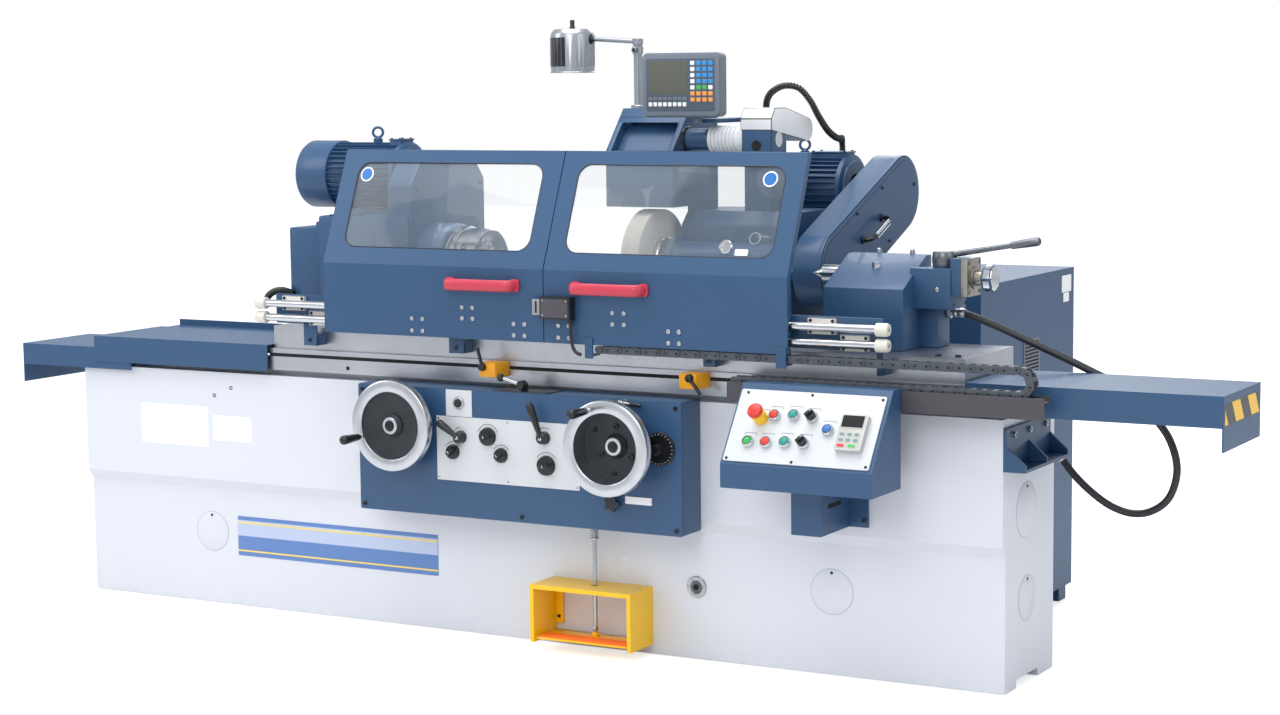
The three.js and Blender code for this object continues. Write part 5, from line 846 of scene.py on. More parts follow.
# Two thin dark outlines, at the lid's edge and inside its rim, are painted shade in the seams.
guard = [(prism("x", (760, 846), capsule(109)), blue, 1.5), (prism("x", (836, 847), capsule(110)), blue, 1.2),
         (prism("x", (846, LID_X), capsule(106)), blue, 1.5),
         (prism("x", (846.8, 847.4), capsule(108.6)), shade_and_display_black),
         (prism("x", (849.9, 850.3), capsule(95)), shade_and_display_black),
         (prism("x", (850.0, 850.6), capsule(93.8)), blue)]
handle_line = smooth_path([(850, -74, 0), (866, -73, 0), (879, -64, 0), (883, -48, 0), (883.4, 0, 0),
                           (883, 48, 0), (879, 64, 0), (866, 73, 0), (850, 74, 0)])
guard += placed([(tube(handle_line, 6.6, 24), black), (slab((883, 889.4), (-48, 48), (-9, 9)), vinyl, 1.5),
                 *[(rod("x", (850, 858), (side, 0), 12, 32), black, 0.8) for side in (-72, 72)]],
                Matrix.Translation((0, 494, 1147)) @ Matrix.Rotation(belt_tilt, 4, "X"))
lid_holes = [(566, 1261), (391, 1195), (800, 1262), (617, 1104), (190, 1029)]
guard += screw_rows([(LID_X, y, z) for y, z in lid_holes], TO_RIGHT, 5, 4, black)
build("belt_guard_dressed", "wheelhead", guard, replaces=("belt_guard",))

# Grinding wheel: white corundum in a vitrified bond, on a steel flange, with the driven pulley behind.
# The wheel is pressed and fired; the flanges and the pulley are turned.
# Corundum grit: pale, dry and rough, drawn coarser than the real 0.3 mm so that it shows.
abrasive = surface("abrasive", "#b9b4ab", 0.95, tone=0.1, tone_mm=8, grain_mm=0.9, bump=0.9)
build("grinding_wheel_dressed", "wheel_spindle_body", [
    (lathe("x", (230, WHEEL_Y, WORK_Z), [(0, 68), (0, 147), (2, 150), (58, 150), (60, 147), (60, 68)], 144),
     abrasive),
    (lathe("x", (214, WHEEL_Y, WORK_Z), [(-20, 30), (0, 30), (0, 66), (3, 70), (16, 70)], 96), chrome),
    (lathe("x", (290, WHEEL_Y, WORK_Z), [(0, 70), (13, 70), (16, 66), (16, 30), (482, 30)], 96), chrome),
    (lathe("x", (772, WHEEL_Y, WORK_Z), [
        (0, 30), (0, 70), (8, 70), (13, 60), (18, 70), (24, 70), (29, 60), (34, 70), (40, 70),
        (45, 60), (50, 70), (66, 70), (66, 30)], 96), cast_grey)],
    replaces=("grinding_wheel",))

# Internal grinding unit: a pale cast arm that swings down, with a blue drum, a black disc and a ribbed body.
# The arm is cast and painted; the spindle's parts are turned and clamped in it.
# Pale enamel on a rough casting.
pale = surface("pale_casting", "#dfe2e4", 0.42, tone=0.04, tone_mm=90, grain_mm=2.2, bump=0.2)
UNIT_Y, UNIT_Z = 200, 1412
ribs = [(0, 30), (0, 38)]
for groove in range(8, 92, 12):
    ribs += [(groove, 38), (groove + 1, 34.5), (groove + 4, 34.5), (groove + 5, 38)]
ribs += [(120, 38), (127, 38)]
arm_outline = [(154, 1438), (385, 1402), (402, 1406), (414, 1418), (419, 1436), (414, 1454),
               (402, 1466), (385, 1470), (246, 1500), (177, 1500), (154, 1470)]
# A small dark disc on the arm's front is painted shade in a hole.
build("internal_grinding_unit", "internal_arm_body", [
    (lathe("x", (402, UNIT_Y, UNIT_Z), [(0, 30), (0, 34), (2, 36), (8, 36), (10, 34), (10, 30)], 72), black),
    (lathe("x", (412, UNIT_Y, UNIT_Z), [(0, 24), (0, 29), (3, 30), (74, 30), (78, 28)], 72), blue),
    (lathe("x", (402, UNIT_Y, UNIT_Z), [(-0.5, 9), (1, 9)], 32), chrome),
    (lathe("x", (490, UNIT_Y, UNIT_Z), ribs, 72), pale),
    (slab((604, 697), (155, 245), (1374, 1445)), blue, 2), (prism("x", (600.5, 698), arm_outline), pale, 2),
    (lathe("x", (600.2, 385, 1436), [(0, 30), (0, 33.4), (98, 33.4), (98.2, 24), (98.2, 0)], 64), pale),
    (lathe("x", (698, UNIT_Y, UNIT_Z), [(-1, 22), (0.4, 22), (0.4, 0)], 48), chrome),
    (lathe("front", (650, 153.6, 1395), [(-2, 15), (0, 15), (0.3, 9), (-1, 8), (-1, 0)], 40), shade_and_display_black)],
    replaces=("internal_grinding_arm",))

# Digital readout: moulded grey case with a dim screen, a row of soft keys and coloured keys, all unmarked.
# It turns on a short post at the end of the riser's bar.
# Moulded grey plastic: half matt, with the fine grain of the mould.
case = surface("readout_case", "#6b7480", 0.42, tone=0.04, tone_mm=120, grain_mm=1.4, bump=0.12)
# Glass over a dark display, smooth and a little green.
screen = surface("readout_screen", "#5d5f57", 0.12, tone=0.08, tone_mm=160, bump=0.01)
# Plain foil stuck on the case: darker, with a flatter gloss.
fascia = surface("readout_fascia", "#4a5666", 0.35, tone=0.04, tone_mm=80, bump=0.05)
# Moulded rubber keys: even colour, half matt.
key_white, key_blue, key_orange, key_green = [
    surface(f"key_{label}", code, 0.4, tone=0.03, bump=0.06) for label, code in [
        ("white", "#eceeee"), ("blue", "#2f8fd6"), ("orange", "#ee9a45"), ("green", "#44b04a")]]
readout = [(prism("y", (98, 132), rounded((318, 570), (1476, 1656), 16, 10)), case, 3),
           (prism("y", (92.2, 100), rounded((321, 567), (1479, 1653), 14, 10)), case, 3.4),
           (prism("y", (91.8, 93), rounded((334, 554), (1492, 1640), 7)), fascia, 0.4),
           (prism("y", (91.2, 92), rounded((342, 466), (1540, 1634), 3)), screen, 0.3),
           (slab((471, 485), (120, 144), (1459, 1500)), case, 2),
           (rod("z", (1458.4, 1500), (478, 140.7), 8.8, 32), case),
           (slab((350, 540), (131, 133.5), (1500, 1630)), case, 1)]
for k in range(8):
    key = (342 + 15.6 * k, 354 + 15.6 * k)
    readout += [(prism("y", (91, 92), rounded(key, (1524, 1532), 2, 3)), case, 0.3),
                (prism("y", (90.6, 92), rounded(key, (1506, 1518), 2, 3)), key_white, 0.4)]
for row in range(7):
    for column in range(4):
        x, z = 476 + column * 19, 1621 - row * 17
        in_blue, in_green = column and row < 4, row == 4 and column in (1, 2)
        hue = key_orange if row > 4 else key_blue if in_blue else key_green if in_green else key_white
        readout.append((prism("y", (90.6, 92), rounded((x, x + 14), (z, z + 12), 2, 3)), hue, 0.4))
build("readout", "readout_body", readout, replaces=("dro_display",))


# Work lamp: a pressed aluminium shade with a band of vents, on a bent tube arm and a steel post; on one side
# the vents are drawn black and wider as painted shade.
# The shade holds a frosted bulb in a pale lining.
def ball(centre, radius, steps=32):
    """A sphere as a turned half circle."""
    half = [(-radius * math.cos(math.pi * k / 16), radius * math.sin(math.pi * k / 16)) for k in range(17)]
    return lathe("z", centre, half, steps)


# Pressed aluminium under clear lacquer: pale grey with soft wide highlights.
lamp_silver = surface("lamp_silver", "#a6aab0", 0.3, metallic=0.8, tone=0.04, tone_mm=60, grain_mm=1,
                      bump=0.06)
# Frosted glass.
frosted = surface("lamp_bulb", "#f6f3e6", 0.3, tone=0.02)
SHADE_X, POST_X, LAMP_Y = -44, 179, 322
lamp_rows = [
    (lathe("z", (SHADE_X, LAMP_Y, 1603), [(0, 62), (0, 66), (2, 66.6), (4, 65), (113, 65), (121, 61),
                                          (129, 54), (131, 18), (131, 0)], 112), lamp_silver),
    (lathe("z", (SHADE_X, LAMP_Y, 1604), [(0, 61), (96, 61), (112, 34), (112, 0)], 96), ivory),
    (lathe("z", (SHADE_X, LAMP_Y, 1733), [(0, 9), (3, 9), (8, 6.8), (26, 6.8)], 32), black),
    (ball((SHADE_X, LAMP_Y, 1656), 27), frosted),
    (lathe("z", (POST_X, LAMP_Y, 1498.3), [
        (0, 22), (7, 22), (9, 20), (9, 12.5), (150, 12.5), (157, 12.5), (158, 16), (180, 16),
        (182, 13), (184, 13), (186, 16), (202, 16), (203.4, 14)], 48), lamp_silver),
    (tube(smooth_path([(179, 322, 1692), (150, 322, 1694), (90, 322, 1698), (22, 322, 1703),
                       (12, 322, 1704)]), 7, 24), lamp_silver),
    (lathe("x", (10, LAMP_Y, 1702), [(0, 14), (4, 15), (14, 15), (18, 10), (24, 8)], 40), black),
    (lathe("front", (POST_X, 306, 1668), [(-3, 9), (8, 9), (10, 7), (10, 0)], 8), black, 0.8)]
# Vents on one side of the shade are black and twice as wide: painted shade on that side.
for k, a in enumerate(turn(30)):
    painted_shade_side = 13 <= k <= 23
    half = 6.4 if painted_shade_side else 3.2
    vent = slab((64.4, 66.4), (-half, half), (1622, 1708))
    lamp_rows.append((moved(vent, Matrix.Translation((SHADE_X, LAMP_Y, 0)) @ Matrix.Rotation(a, 4, "Z")),
                      black if painted_shade_side else lamp_silver, 0.5))
build("work_lamp_dressed", "lamp_body", lamp_rows, replaces=("work_lamp",))

# Levers of the control plate: black enamelled hubs with short tapered phenolic grips.
# Each turns on a shaft through the plate and is held by a bright screw in its hub.
LEVER_BACK, GRIP_Y = -313.1, (-333.1, -341.1)
for label, (x, z), (tip_x, tip_z) in [("left", (-45, 592), (-99, 631)), ("right", (229, 606), (200, 694))]:
    root, tip = np.array([x, GRIP_Y[0], z]), np.array([tip_x, GRIP_Y[1], tip_z])
    reach = [root + (tip - root) * t for t in (0, 0.2, 0.4, 0.8, 1, 1.06, 1.12)]
    hub_profile = [(0, 18), (8, 18), (10, 16), (22, 15), (25, 12), (26, 8), (26, 0)]
    build(f"apron_lever_{label}_dressed", f"apron_lever_{label}_body", [
        (lathe("front", (x, LEVER_BACK, z), hub_profile, 56), black),
        (lathe("front", (x, -339, z), [(0, 5), (0.8, 5), (0.8, 0)], 24), chrome),
        (tube(reach, [7, 7.2, 8.6, 11, 11.4, 9.6, 5.5], 28), black)],
        replaces=(f"apron_lever_{label}",))

# Wing knobs: black moulded knobs with a raised grip and a white pointer line.
# Each is pressed on its own shaft through the plate.
for label, (x, z), tilt, base in [("speed_knob", (44, 598), 25, 26),
                                  ("throttle_knob_left", (-73, 548), 40, 21),
                                  ("throttle_knob_right", (87, 548), 40, 21),
                                  ("selector_knob", (234, 529), 15, 28)]:
    spin = Matrix.Translation((x, LEVER_BACK, z)) @ Matrix.Rotation(math.radians(-tilt), 4, "Y")
    wide = base + 2
    wing = [(-wide, -5), (-wide * 0.83, -12), (-wide * 0.35, -30), (wide * 0.17, -34), (wide * 0.7, -30),
            (wide, -12), (wide, -5)]
    disc = [(0, base), (3, base), (5, base - 1.5), (11, base - 2), (12, base - 4), (12, 0)]
    pointer = moved(slab((-0.9, 0.9), (-34.2, -33.2), (-4, 4)), Matrix.Translation((wide * 0.17, 0, 0)))
    build(f"{label}_dressed", f"{label}_body", [
        (lathe("front", (x, LEVER_BACK, z), disc, 64), black),
        (moved(prism("z", (-4.5, 4.5), wing), spin), black, 1.6),
        (moved(pointer, spin), panel_white)], replaces=(label,))

# Reversing lever: a black enamelled hub and ball on a round steel arm, turned by the table dogs.
# The hub is pinned to its shaft and the ball is screwed on.
ball_spot = (76, -292, 763)
build("reversing_lever_dressed", "reversing_lever_body", [
    (lathe("front", (144, -280, 745), [(0, 13), (20, 13), (23, 11), (24, 7), (24, 0)], 48), black),
    (tube([(144, -292, 745), ball_spot], [6, 5], 24), chrome), (ball(ball_spot, 11), black)],
    replaces=("reversing_lever",))

# Pedal guard: a folded steel frame in signal yellow, bolted to the plinth.
# A riser plate at its corner and four black screws hold it.
# Sprayed yellow enamel: glossier than the blue, with a faint orange peel.
yellow = surface("yellow_paint", "#fbc400", 0.36, tone=0.04, tone_mm=120, grain_mm=3, bump=0.12, coat=0.2)
dress("pedal_guard", yellow, 2)
riser_front = -190
build("pedal_guard_corners", "bed", [
    (prism("y", (riser_front, -180.5), [(181.5, 60), (205, 60), (205, 178), (181.5, 178)]), yellow, 1),
    *screw_rows([(193, riser_front, z) for z in (80, 160)], TO_FRONT, 5, 4, black),
    *screw_rows([(158, -183.4, z) for z in (75, 145)], TO_FRONT, 5, 4, black)])

# Foot pedal: a pressed steel plate with a ribbed orange tread, rocking on a bar, and its yellow heel.
# The tread is moulded rubber, stuck on.
orange = surface("orange_rubber", "#f5731a", 0.45, tone=0.06, tone_mm=60, grain_mm=1.4, bump=0.2)
TREAD_RIBS = range(-299, -249, 7)
build("foot_pedal_dressed", "pedal_body", [
    (slab((187, 473), (-302, -204), (36, 42.4)), yellow, 1.2),
    (slab((187, 473), (-249, -207), (42, 43.4)), yellow, 0.6),
    *[(tube([(190, y, 42.4), (330, y, 42.6), (470, y, 42.4)], 3.0, 12), orange) for y in TREAD_RIBS],
    (rod("x", (181.4, 478.6), (-198.3, 40), 6, 32), chrome),
    (slab((332, 348), (-246, -230.5), (42, 58)), yellow, 1.5)],
    replaces=("foot_pedal",))

# Pull rod: a plated steel rod with a collar and its return spring, one unbroken helix.
# It hangs from the pedal's lug and pushes up into the bed.
PULL_X, PULL_Y, COILS, SPRING_RADIUS, SPRING_Z, SPRING_HEIGHT = 340, -238.6, 5, 11, 326, 32.8
turned_by = np.linspace(0, COILS * 2 * math.pi, 320)
helix = np.column_stack([PULL_X + SPRING_RADIUS * np.cos(turned_by),
                         PULL_Y + SPRING_RADIUS * np.sin(turned_by),
                         SPRING_Z + SPRING_HEIGHT * turned_by / turned_by[-1]])
build("pull_rod", "pedal_rod_body", [
    (lathe("z", (PULL_X, PULL_Y, 61.4), [(0, 4), (2, 6), (328, 6), (330.6, 5)], 40), plated),
    (lathe("z", (PULL_X, PULL_Y, 319), [(0, 11), (1, 13), (5, 13), (6, 12)], 40), plated),
    (lathe("z", (PULL_X, PULL_Y, 62), [(0, 9), (12, 9), (13, 8)], 6), plated, 0.5),
    (tube(helix, 1.5, 12), chrome)], replaces=("pedal_rod",))

# Console: a folded steel box on a column, sprayed blue, with a lip round its sloping lid.
# Four screws hold its flange to the bed.
dress("console_housing", blue, 2)
SLOPE = Matrix.Translation((865, -490, 603)) @ Matrix.Rotation(math.atan2(797 - 540 - 63, 490 - 355), 4, "X")
console_holes = [(x, -208.3, z) for x in (1000, 1143) for z in (430, 520)]
screws("console_flange_screws", "bed", console_holes, TO_FRONT, 6, 5, black)
# A thin dark strip on the console is painted shade in a slot.
build("console_column_slot", "bed", [(slab((1099.6, 1100.4), (-340, -260), (478, 490)), shade_and_display_black)])

# Console lid: white anodised plate with chromed collars, a yellow one for the stop button, and a green lamp.
# The keypad is a small inverter panel: grey case, dark display and rubber keys, all unmarked.
# Moulded ABS and acetal caps: clean colour with small clear highlights.
teal = surface("teal_plastic", "#1c9186", 0.3, tone=0.06, tone_mm=10, bump=0.04)
signal = surface("signal_red", "#cf3327", 0.32, tone=0.05, tone_mm=14, bump=0.05)
cap_blue = surface("blue_plastic", "#2b6fb5", 0.3, tone=0.05, tone_mm=10, bump=0.04)
# Moulded grey ABS, and silicone rubber keys that are duller.
keypad_grey = surface("keypad_grey", "#b9b7b0", 0.42, tone=0.04, tone_mm=40, grain_mm=1.2, bump=0.1)
keypad_teal = surface("keypad_keys", "#6f8a8e", 0.5, tone=0.04, tone_mm=20, bump=0.06)
# Moulded acrylic lens: smooth and clear-edged.
lamp_green = surface("green_lens", "#3fae5a", 0.15, tone=0.08, tone_mm=8, bump=0.04)
LID = {"estop_button": (84, 132), "red_button_upper": (121, 142), "teal_button_upper": (174, 146),
       "selector_upper": (227, 143), "blue_button": (279, 110), "green_lamp": (66, 63),
       "red_button_lower": (117, 64), "teal_button_lower": (170, 68), "selector_lower": (222, 68)}
TOP = 4.3
STOP_COLLAR = [(-1, 19), (29, 19), (33, 16), (33, 12.4), (-1, 12.4), (-1, 19)]
COLLAR = [(-1, 16), (9, 16), (11, 15), (13, 13.6), (13, 12.4), (-1, 12.4), (-1, 16)]
lid = [(prism("z", (0.3, TOP), rounded((6, 415), (8, 216), 5)), panel_white, 0.8)]
for label, (u, v) in LID.items():
    if label == "estop_button":
        lid.append((lathe("z", (u, v, TOP), STOP_COLLAR, 64), yellow))
    else:
        lid.append((lathe("z", (u, v, TOP), COLLAR, 56), chrome))
    lid.append((slab((u - 17, u + 17), (v + 27, v + 28), (TOP, TOP + 0.3)), fascia))
    lid += [(slab((edge, edge + 1), (v + 22, v + 27), (TOP, TOP + 0.3)), fascia) for edge in (u - 17, u + 16)]
lid += [(lathe("z", (*LID["green_lamp"], TOP), [(0, 12), (8, 12), (12, 11), (15, 8), (17, 3), (17, 0)], 48),
         lamp_green),
        (prism("z", (TOP, TOP + 19), rounded((313, 387), (52, 155), 5)), keypad_grey, 2.2),
        (prism("z", (TOP + 18, TOP + 20.5), rounded((318, 382), (112, 150), 4)), keypad_grey, 0.8),
        (prism("z", (TOP + 20, TOP + 21), rounded((320, 380), (114, 148), 2)), shade_and_display_black, 0.3)]
for row in range(3):
    wide, pitch = (15, 20.5) if row else (22, 30)
    for column, hue in enumerate((keypad_teal,) * 3 if row else (signal, key_green)):
        u, v = 321 + column * pitch, 58 + row * 16
        lid.append((prism("z", (TOP + 18, TOP + 20.4), rounded((u, u + wide), (v, v + 10), 4.6)), hue, 0.7))
build("console_lid", "bed", placed(lid, SLOPE), replaces=("console_panel",))
lid_corners = [(26, 206), (209, 208), (406, 206), (16, 15), (201, 15), (406, 16)]
screws("console_lid_screws", "bed", [(SLOPE @ Vector((u, v, TOP)))[:] for u, v in lid_corners],
       (SLOPE.to_3x3() @ Vector(TO_TOP))[:], 3.6, 2.4, black)


# Console buttons: moulded caps that press into their collars, each riding its own body.
# The stop button is a wide mushroom, and the two selectors have a straight grip with a white mark.
def console_control(name, label, rows):
    """A control drawn with x along the lid, y up the slope and z out of it, at its place on the lid."""
    place = SLOPE @ Matrix.Translation((*LID[label], TOP))
    build(name, f"{label}_body", placed(rows, place), replaces=(label,))


BUTTON = [(-17, 8), (-17, 11.2), (12.5, 11.2), (14.5, 10.2), (15.4, 8), (14.8, 0)]
MUSHROOM = [(-17, 11.2), (40, 11.2), (40.5, 19.5), (43, 20.8), (47, 20.8), (52, 17.5), (54.5, 9), (55, 0)]
for label, hue, slot in [("red_button_upper", signal, "red_plastic"),
                         ("teal_button_upper", teal, "teal_plastic"),
                         ("blue_button", cap_blue, "blue_plastic"),
                         ("red_button_lower", signal, "red_plastic"),
                         ("teal_button_lower", teal, "teal_plastic")]:
    console_control(f"{label}_cap", label, [(lathe("z", (0, 0, 0), BUTTON, 48), hue)])
console_control("estop_mushroom", "estop_button", [(lathe("z", (0, 0, 0), MUSHROOM, 64), signal)])
selector_grip = prism("z", (22.3, 36.9), rounded((-12.6, 12.6), (-3.4, 3.4), 3.2))
selector_mark = slab((4, 12), (-0.8, 0.8), (36.6, 37.2))
quarter = Matrix.Rotation(math.pi / 4, 4, "Z")
for label in ("selector_upper", "selector_lower"):
    console_control(f"{label}_switch", label, [
        (lathe("z", (0, 0, 13.3), [(0, 13), (10, 13), (13, 12), (14, 9), (14, 0)], 48), black),
        (moved(selector_grip, quarter), black, 1.2), (moved(selector_mark, quarter), panel_white)])

# Electrical cabinet: folded and welded sheet steel on four feet, sprayed blue.
# Its door hangs on two hinges and has a fan grille, a latch and two bare plates.
dress("cabinet_shell", blue, 2)
dress("cabinet_door", blue, 2)
# A dark sheet behind the grille's slats is painted shade inside the grille.
door_rows = [(prism("x", (1270.2, 1272), rounded((612, 739), (724, 828), 8)), case, 0.5),
             (prism("x", (1271.8, 1272.2), rounded((620, 731), (731, 821), 4)), shade_and_display_black),
             (prism("x", (1270.1, 1270.6), rounded((926, 1006), (940, 990), 2)), vinyl),
             (prism("x", (1270.1, 1270.6), rounded((940, 987), (911, 938), 2)), vinyl),
             (lathe("x", (1269, 310, 560), [(0, 11), (2, 11), (2, 4), (1.4, 0)], 32), plated)]
for z in 736 + 10.4 * np.arange(8):
    slat = [(1271.8, z), (1272.9, z), (1272.9, z + 3.6), (1271.8, z + 5)]
    door_rows.append((prism("y", (620, 731), slat), case))
build("cabinet_door_trim", "cabinet_door_body", door_rows)
build("cabinet_hinges", "bed", [(rod("z", (z, z + 70), (1262, 1026.5), 4.4, 24), plated) for z in (180, 800)])

# Table: ground and scraped iron, a lower table with a slot for the dogs and an upper table clamped on it.
# Its T-slots and the dogs' slot are drawn as thin dark strips of painted shade, and an oil hole as a dark
# disc of painted shade.
dress("lower_table", ground, 1.2)
dress("upper_table", ground, 1.2)
build("table_lines", "table", [
    (slab((-470, 900), (-60, -42), (TABLE_TOP, SEAT)), shade_and_display_black),
    (slab((-170, 960), (20, 38), (TABLE_TOP, SEAT)), shade_and_display_black),
    (slab((-790, 1430), (-210.6, -210.25), (776, 786)), shade_and_display_black),
    (lathe("front", (-506, -210, 752), [(0.2, 6), (1, 6), (1, 0)], 24), shade_and_display_black),
    *screw_rows([(x, -160, TABLE_TOP) for x in (1330, 1385)], TO_TOP, 8, 6, black)])

# Way covers: folded sheet steel, sprayed blue; the right one ends in a striped plate.
# The stripes are plain paint.
for node in ("right_cover", "left_cover", "outer_cover_left"):
    dress(node, blue, 1.6)
STRIPES = ([(-215, 737), (-187, 737), (-215, 776)], [(-157, 789), (-89, 789), (-52, 737), (-120, 737)],
           [(-22, 789), (46, 789), (83, 737), (15, 737)])
build("cover_stripes", "table", [
    (slab((2098.0, 2098.3), (-216, 86), (736, 790)), black),
    *[(prism("x", (2098.2, 2098.6), stripe), yellow) for stripe in STRIPES]])

# Cable tray: folded sheet steel in dark grey, screwed to the front of the table.
# Its powder coat is even and half matt.
tray_paint = surface("tray_steel", "#46454a", 0.42, tone=0.06, tone_mm=200, grain_mm=3, bump=0.12)
dress("cable_tray", tray_paint, 1.0)


# Splash doors: folded sheet, upright below and leaning back above, sprayed blue.
# Clear acrylic panes sit behind the sheet in rubber seals; the fixing screws stand in groups of four.
DOOR_FRONT, DOOR_BEND = -300, 1069
lean = math.atan2(-168.4 - DOOR_FRONT, 1388.5 - DOOR_BEND)
on_door = leaning((0, DOOR_FRONT, DOOR_BEND), lean)


def up_door(z):
    """Distance up the leaning sheet of a height z: (z - bend) / cos(lean)."""
    return (z - DOOR_BEND) / math.cos(lean)


dress("left_door", blue, 1.3)
dress("right_door", blue, 1.3)
# Cast acrylic: clear, with a faint haze of wiping marks in its gloss.
pane = bpy.data.materials.new("clear_pane")
pane.use_nodes = True
pane_tree = pane.node_tree
pane_shader = pane_tree.nodes["Principled BSDF"]
pane_shader.inputs["Base Color"].default_value = rgb("#dfe9ee")
pane_shader.inputs["Transmission Weight"].default_value = 0.7
pane_shader.inputs["Alpha"].default_value = 0.16
pane_spot = add(pane_tree, "ShaderNodeTexCoord").outputs["Object"]
haze = add(pane_tree, "ShaderNodeTexNoise", {"Vector": pane_spot, "Scale": 9.0, "Detail": 6.0}).outputs["Fac"]
dull = add(pane_tree, "ShaderNodeMapRange", {"Value": haze, "From Min": 0.3, "From Max": 0.7, "To Min": 0.03,
                                             "To Max": 0.12})
pane_tree.links.new(dull.outputs["Result"], pane_shader.inputs["Roughness"])
dress("left_window", pane, 0.4)
dress("right_window", pane, 0.4)
low, high = up_door(1116), up_door(1352)
for side, (left, right_end), disc_x in [("left", (-462, 164), -432), ("right", (279, 912), 867)]:
    outside = rounded((left - 0.5, right_end + 0.5), (low - 0.5, high + 0.5), 40.5, 16)
    seal = [(u, v, -1.4) for u, v in [*outside, outside[0]]]
    build(f"{side}_window_seal", f"{side}_door_body", placed([
        (tube(seal, 2.0, 8), black),
        (lathe("z", (disc_x, up_door(1320), -3.1), [(0, 22), (0.5, 22), (0.5, 0)], 56), vinyl),
        (lathe("z", (disc_x, up_door(1320), -2.7), [(0, 18), (0.3, 18), (0.3, 0)], 56), cap_blue)], on_door))
for side, groups in [("left", [(-213, -177, 884, 918), (-43, -8, 925, 956), (127, 162, 884, 916)]),
                     ("right", [(271, 305, 884, 917), (442, 478, 927, 958), (614, 646, 883, 914)])]:
    holes = [(x, DOOR_FRONT, z) for x0, x1, z0, z1 in groups for x in (x0, x1) for z in (z0, z1)]
    screws(f"{side}_door_screws", f"{side}_door_body", holes, TO_FRONT, 6.2, 3.2, chrome)
build("right_window_port", "right_door_body", placed([
    (lathe("z", (771, up_door(1143), -6), [(0, 19), (7, 19), (9, 17), (9, 12), (6, 11), (6, 0)], 48), chrome),
    (lathe("z", (852, up_door(1167), -3.2), [(0, 17), (0.5, 17), (0.5, 14), (0, 14), (0, 17)], 48), plated),
    (prism("z", (-3.2, -2.7), rounded((800, 838), (up_door(1122), up_door(1138)), 2)), vinyl)], on_door))

# Door handles: red moulded plastic, taller than deep with generous rounds, on two feet.
# Two screws go through each into the sheet.
# Moulded nylon: clean colour, half gloss.
handle_red = surface("red_plastic", "#c23a4d", 0.34, tone=0.04, tone_mm=60, grain_mm=1.2, bump=0.08)
HANDLE_Z, HANDLE_TALL, HANDLE_LENGTH = 1022.5, 1.8, 241
HANDLE_SCREW = [(0, 6), (0.4, 6), (0.4, 3), (-1, 3), (-1, 0)]
half_bend = [(14, -301), (14, -318), (22, -332), (45, -336.4)]
bar = half_bend + [(HANDLE_LENGTH / 2 - 0.5, -336.6)] + [(HANDLE_LENGTH - u, y) for u, y in half_bend[::-1]]
for side, left in [("left", -93), ("right", 314)]:
    verts, faces = tube(smooth_path([(left + u, y, HANDLE_Z) for u, y in bar]), 9.0, 28)
    verts[:, 2] = HANDLE_Z + (verts[:, 2] - HANDLE_Z) * HANDLE_TALL
    foot_ends = [(x, x + 30) for x in (left, left + HANDLE_LENGTH - 30)]
    build(f"{side}_handle_dressed", f"{side}_door_body", [
        ((verts, faces), handle_red),
        *[(prism("y", (-309, -300.3), rounded(ends, (1005, 1040), 10)), handle_red, 2) for ends in foot_ends],
        *[(lathe("front", (left + x, -344.6, HANDLE_Z), HANDLE_SCREW, 24), black) for x in (70, 171)]],
        replaces=(f"{side}_door_handle",))

# Interlock switch: a black die-cast body with a screwed cover and a gland; its cable runs to the chain.
# The key is a bent plate on the left door, and both are screwed to the sheet.
cable_line = smooth_path([(318, -315.3, 948), (318, -315.3, 905), (322, -315.3, 870), (334, -315.3, 848),
                          (350, -315.3, 842)], 10)
build("interlock_dressed", "right_door_body", [
    (slab((228, 325), (-330.3, -300.3), (936, 998)), black, 2.5),
    (slab((233, 320), (-331.5, -330), (941, 993)), tray_paint, 1.0),
    (lathe("z", (318, -315.3, 924), [(0, 8), (3, 9), (12, 9), (12, 0)], 6), black, 0.6),
    (tube(cable_line, 4.8), rubber),
    *screw_rows([(x, -331.5, z) for x in (239, 314) for z in (947, 987)], TO_FRONT, 2.8, 1.2, plated)],
    replaces=("interlock_switch",))
build("interlock_key", "left_door_body", [
    (slab((197, 221), (-316.5, -316.1), (945, 989)), plated),
    (slab((206, 212), (-316.9, -316.4), (951, 983)), black)])

# Table dogs: cast blocks in amber paint that clamp in the slot; a black arm tightens each one.
# A ground tongue on the back of each block runs in the slot.
# Amber enamel, sprayed on thickly: half gloss, with a clear orange peel.
amber = surface("amber_paint", "#efa413", 0.4, tone=0.05, tone_mm=60, grain_mm=2, bump=0.15, coat=0.15)
KNOB = [(0, 11), (14, 11), (17, 9.6), (19, 6), (19, 0)]
for side, x, (knob_x, knob_z), (end_x, end_z) in [("left", 0, (-2, 786), (-17, 839)),
                                                  ("right", 637, (657, 787), (691, 744))]:
    block = [(x - 14, -262), (x + 38, -262), (x + 54, -210.8), (x - 14, -210.8)]
    build(f"dog_{side}_dressed", f"dog_{side}_body", [
        (prism("z", (757, 799), block), amber, 2.5),
        (slab((x - 14, x + 54), (-211.6, -202), (777, 785)), ground, 0.4),
        (lathe("front", (knob_x, -257, knob_z), KNOB, 40), black),
        (tube([(knob_x, -266, knob_z), (end_x, -266, end_z)], 5), black)],
        replaces=(f"dog_{side}",))

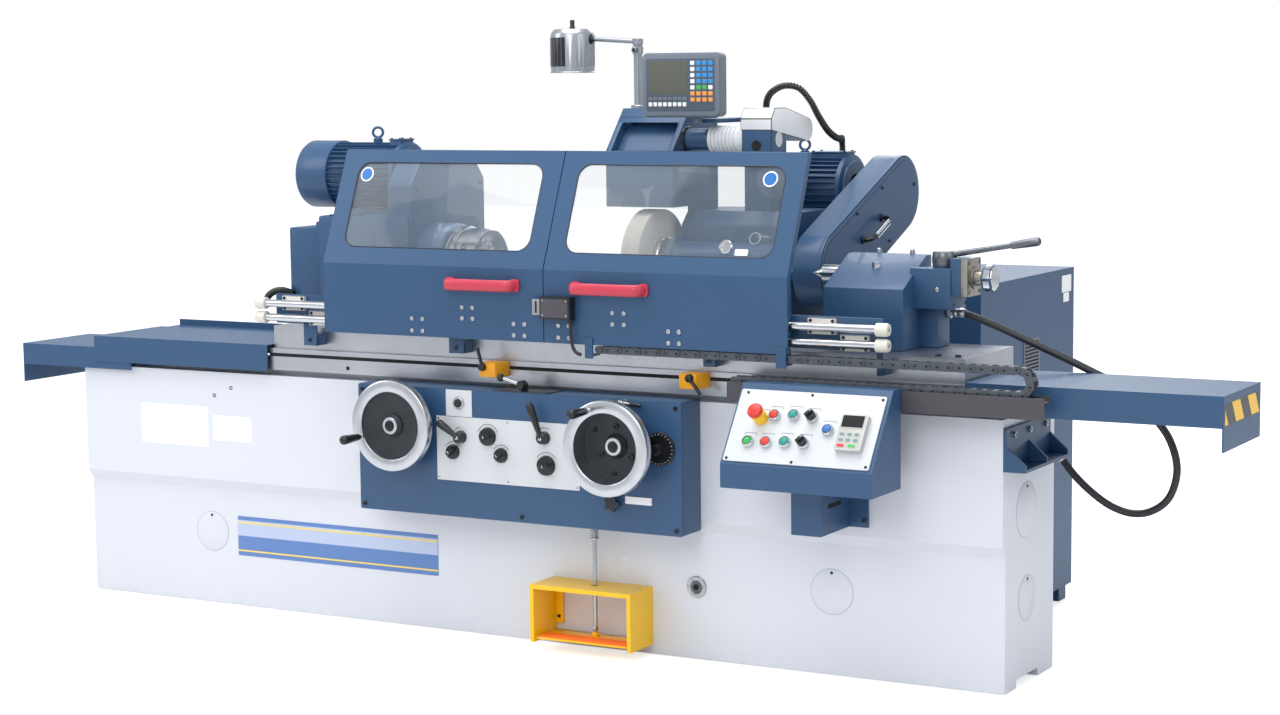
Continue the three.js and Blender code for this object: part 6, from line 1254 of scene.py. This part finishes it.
# Floor: a pale seamless studio floor, lit up for the camera so that it runs into the backdrop.
# It is matt paper that still takes the machine's shadow.
floor_look = bpy.data.materials.new("floor")
floor_look.use_nodes = True
floor_tree = floor_look.node_tree
floor_shader = floor_tree.nodes["Principled BSDF"]
floor_shader.inputs["Base Color"].default_value = (0.8, 0.8, 0.81, 1)
floor_shader.inputs["Roughness"].default_value = 0.95
floor_shader.inputs["Specular IOR Level"].default_value = 0.0
floor_seen = add(floor_tree, "ShaderNodeLightPath").outputs["Is Camera Ray"]
lift = add(floor_tree, "ShaderNodeMath", {0: floor_seen, 1: 0.6}, operation="MULTIPLY")
floor_tree.links.new(lift.outputs[0], floor_shader.inputs["Emission Strength"])
floor_shader.inputs["Emission Color"].default_value = (1, 1, 1, 1)
FLOOR_HALF, FLOOR_Z = 20, -0.002
floor_mesh = bpy.data.meshes.new("floor")
floor_corners = [(-1, -1), (1, -1), (1, 1), (-1, 1)]
floor_mesh.from_pydata([(FLOOR_HALF * u, FLOOR_HALF * v, FLOOR_Z) for u, v in floor_corners], [],
                       [(0, 1, 2, 3)])
floor_mesh.materials.append(floor_look)
floor = bpy.data.objects.new("floor", floor_mesh)
bpy.context.scene.collection.objects.link(floor)

# Backdrop and lamps: white for the camera and through glass, and five round soft lamps on the object.
# The world's own light is a little cool, as it is in the photograph.
world = bpy.data.worlds.new("studio")
bpy.context.scene.world = world
world.use_nodes = True
sky = world.node_tree
path = add(sky, "ShaderNodeLightPath")
seen = add(sky, "ShaderNodeMath", {0: path.outputs["Is Camera Ray"], 1: path.outputs["Is Transmission Ray"]},
           operation="MAXIMUM")
plain = add(sky, "ShaderNodeBackground", {"Color": (1, 1, 1, 1), "Strength": 1.0})
soft = add(sky, "ShaderNodeBackground", {"Color": (0.93, 0.96, 1.0, 1), "Strength": 0.72})
both = add(sky, "ShaderNodeMixShader", {0: seen.outputs[0], 1: soft.outputs[0], 2: plain.outputs[0]})
sky.links.new(both.outputs[0], sky.nodes["World Output"].inputs["Surface"])
for label, spot, target, size, watts in [
        ("lamp_front", (1.5, -6.5, 4.5), (0, 0, 0.8), 4.0, 130),
        ("lamp_left", (-6, -3.5, 4.5), (0, 0, 0.9), 3.5, 105),
        ("lamp_right", (6.5, -1.5, 4.0), (0.5, 0, 0.8), 3.5, 45),
        ("lamp_top", (0, -0.6, 5.6), (0, 0, 0.8), 5.0, 240),
        ("lamp_back", (-1, 6, 4.5), (0, 0.4, 1.0), 3.5, 90)]:
    data = bpy.data.lights.new(label, "AREA")
    data.shape, data.size, data.energy = "DISK", size, watts
    lamp = bpy.data.objects.new(label, data)
    bpy.context.scene.collection.objects.link(lamp)
    lamp.location = spot
    lamp.rotation_euler = (Vector(target) - Vector(spot)).to_track_quat("-Z", "Y").to_euler()
bpy.context.scene.view_settings.view_transform = "Standard"
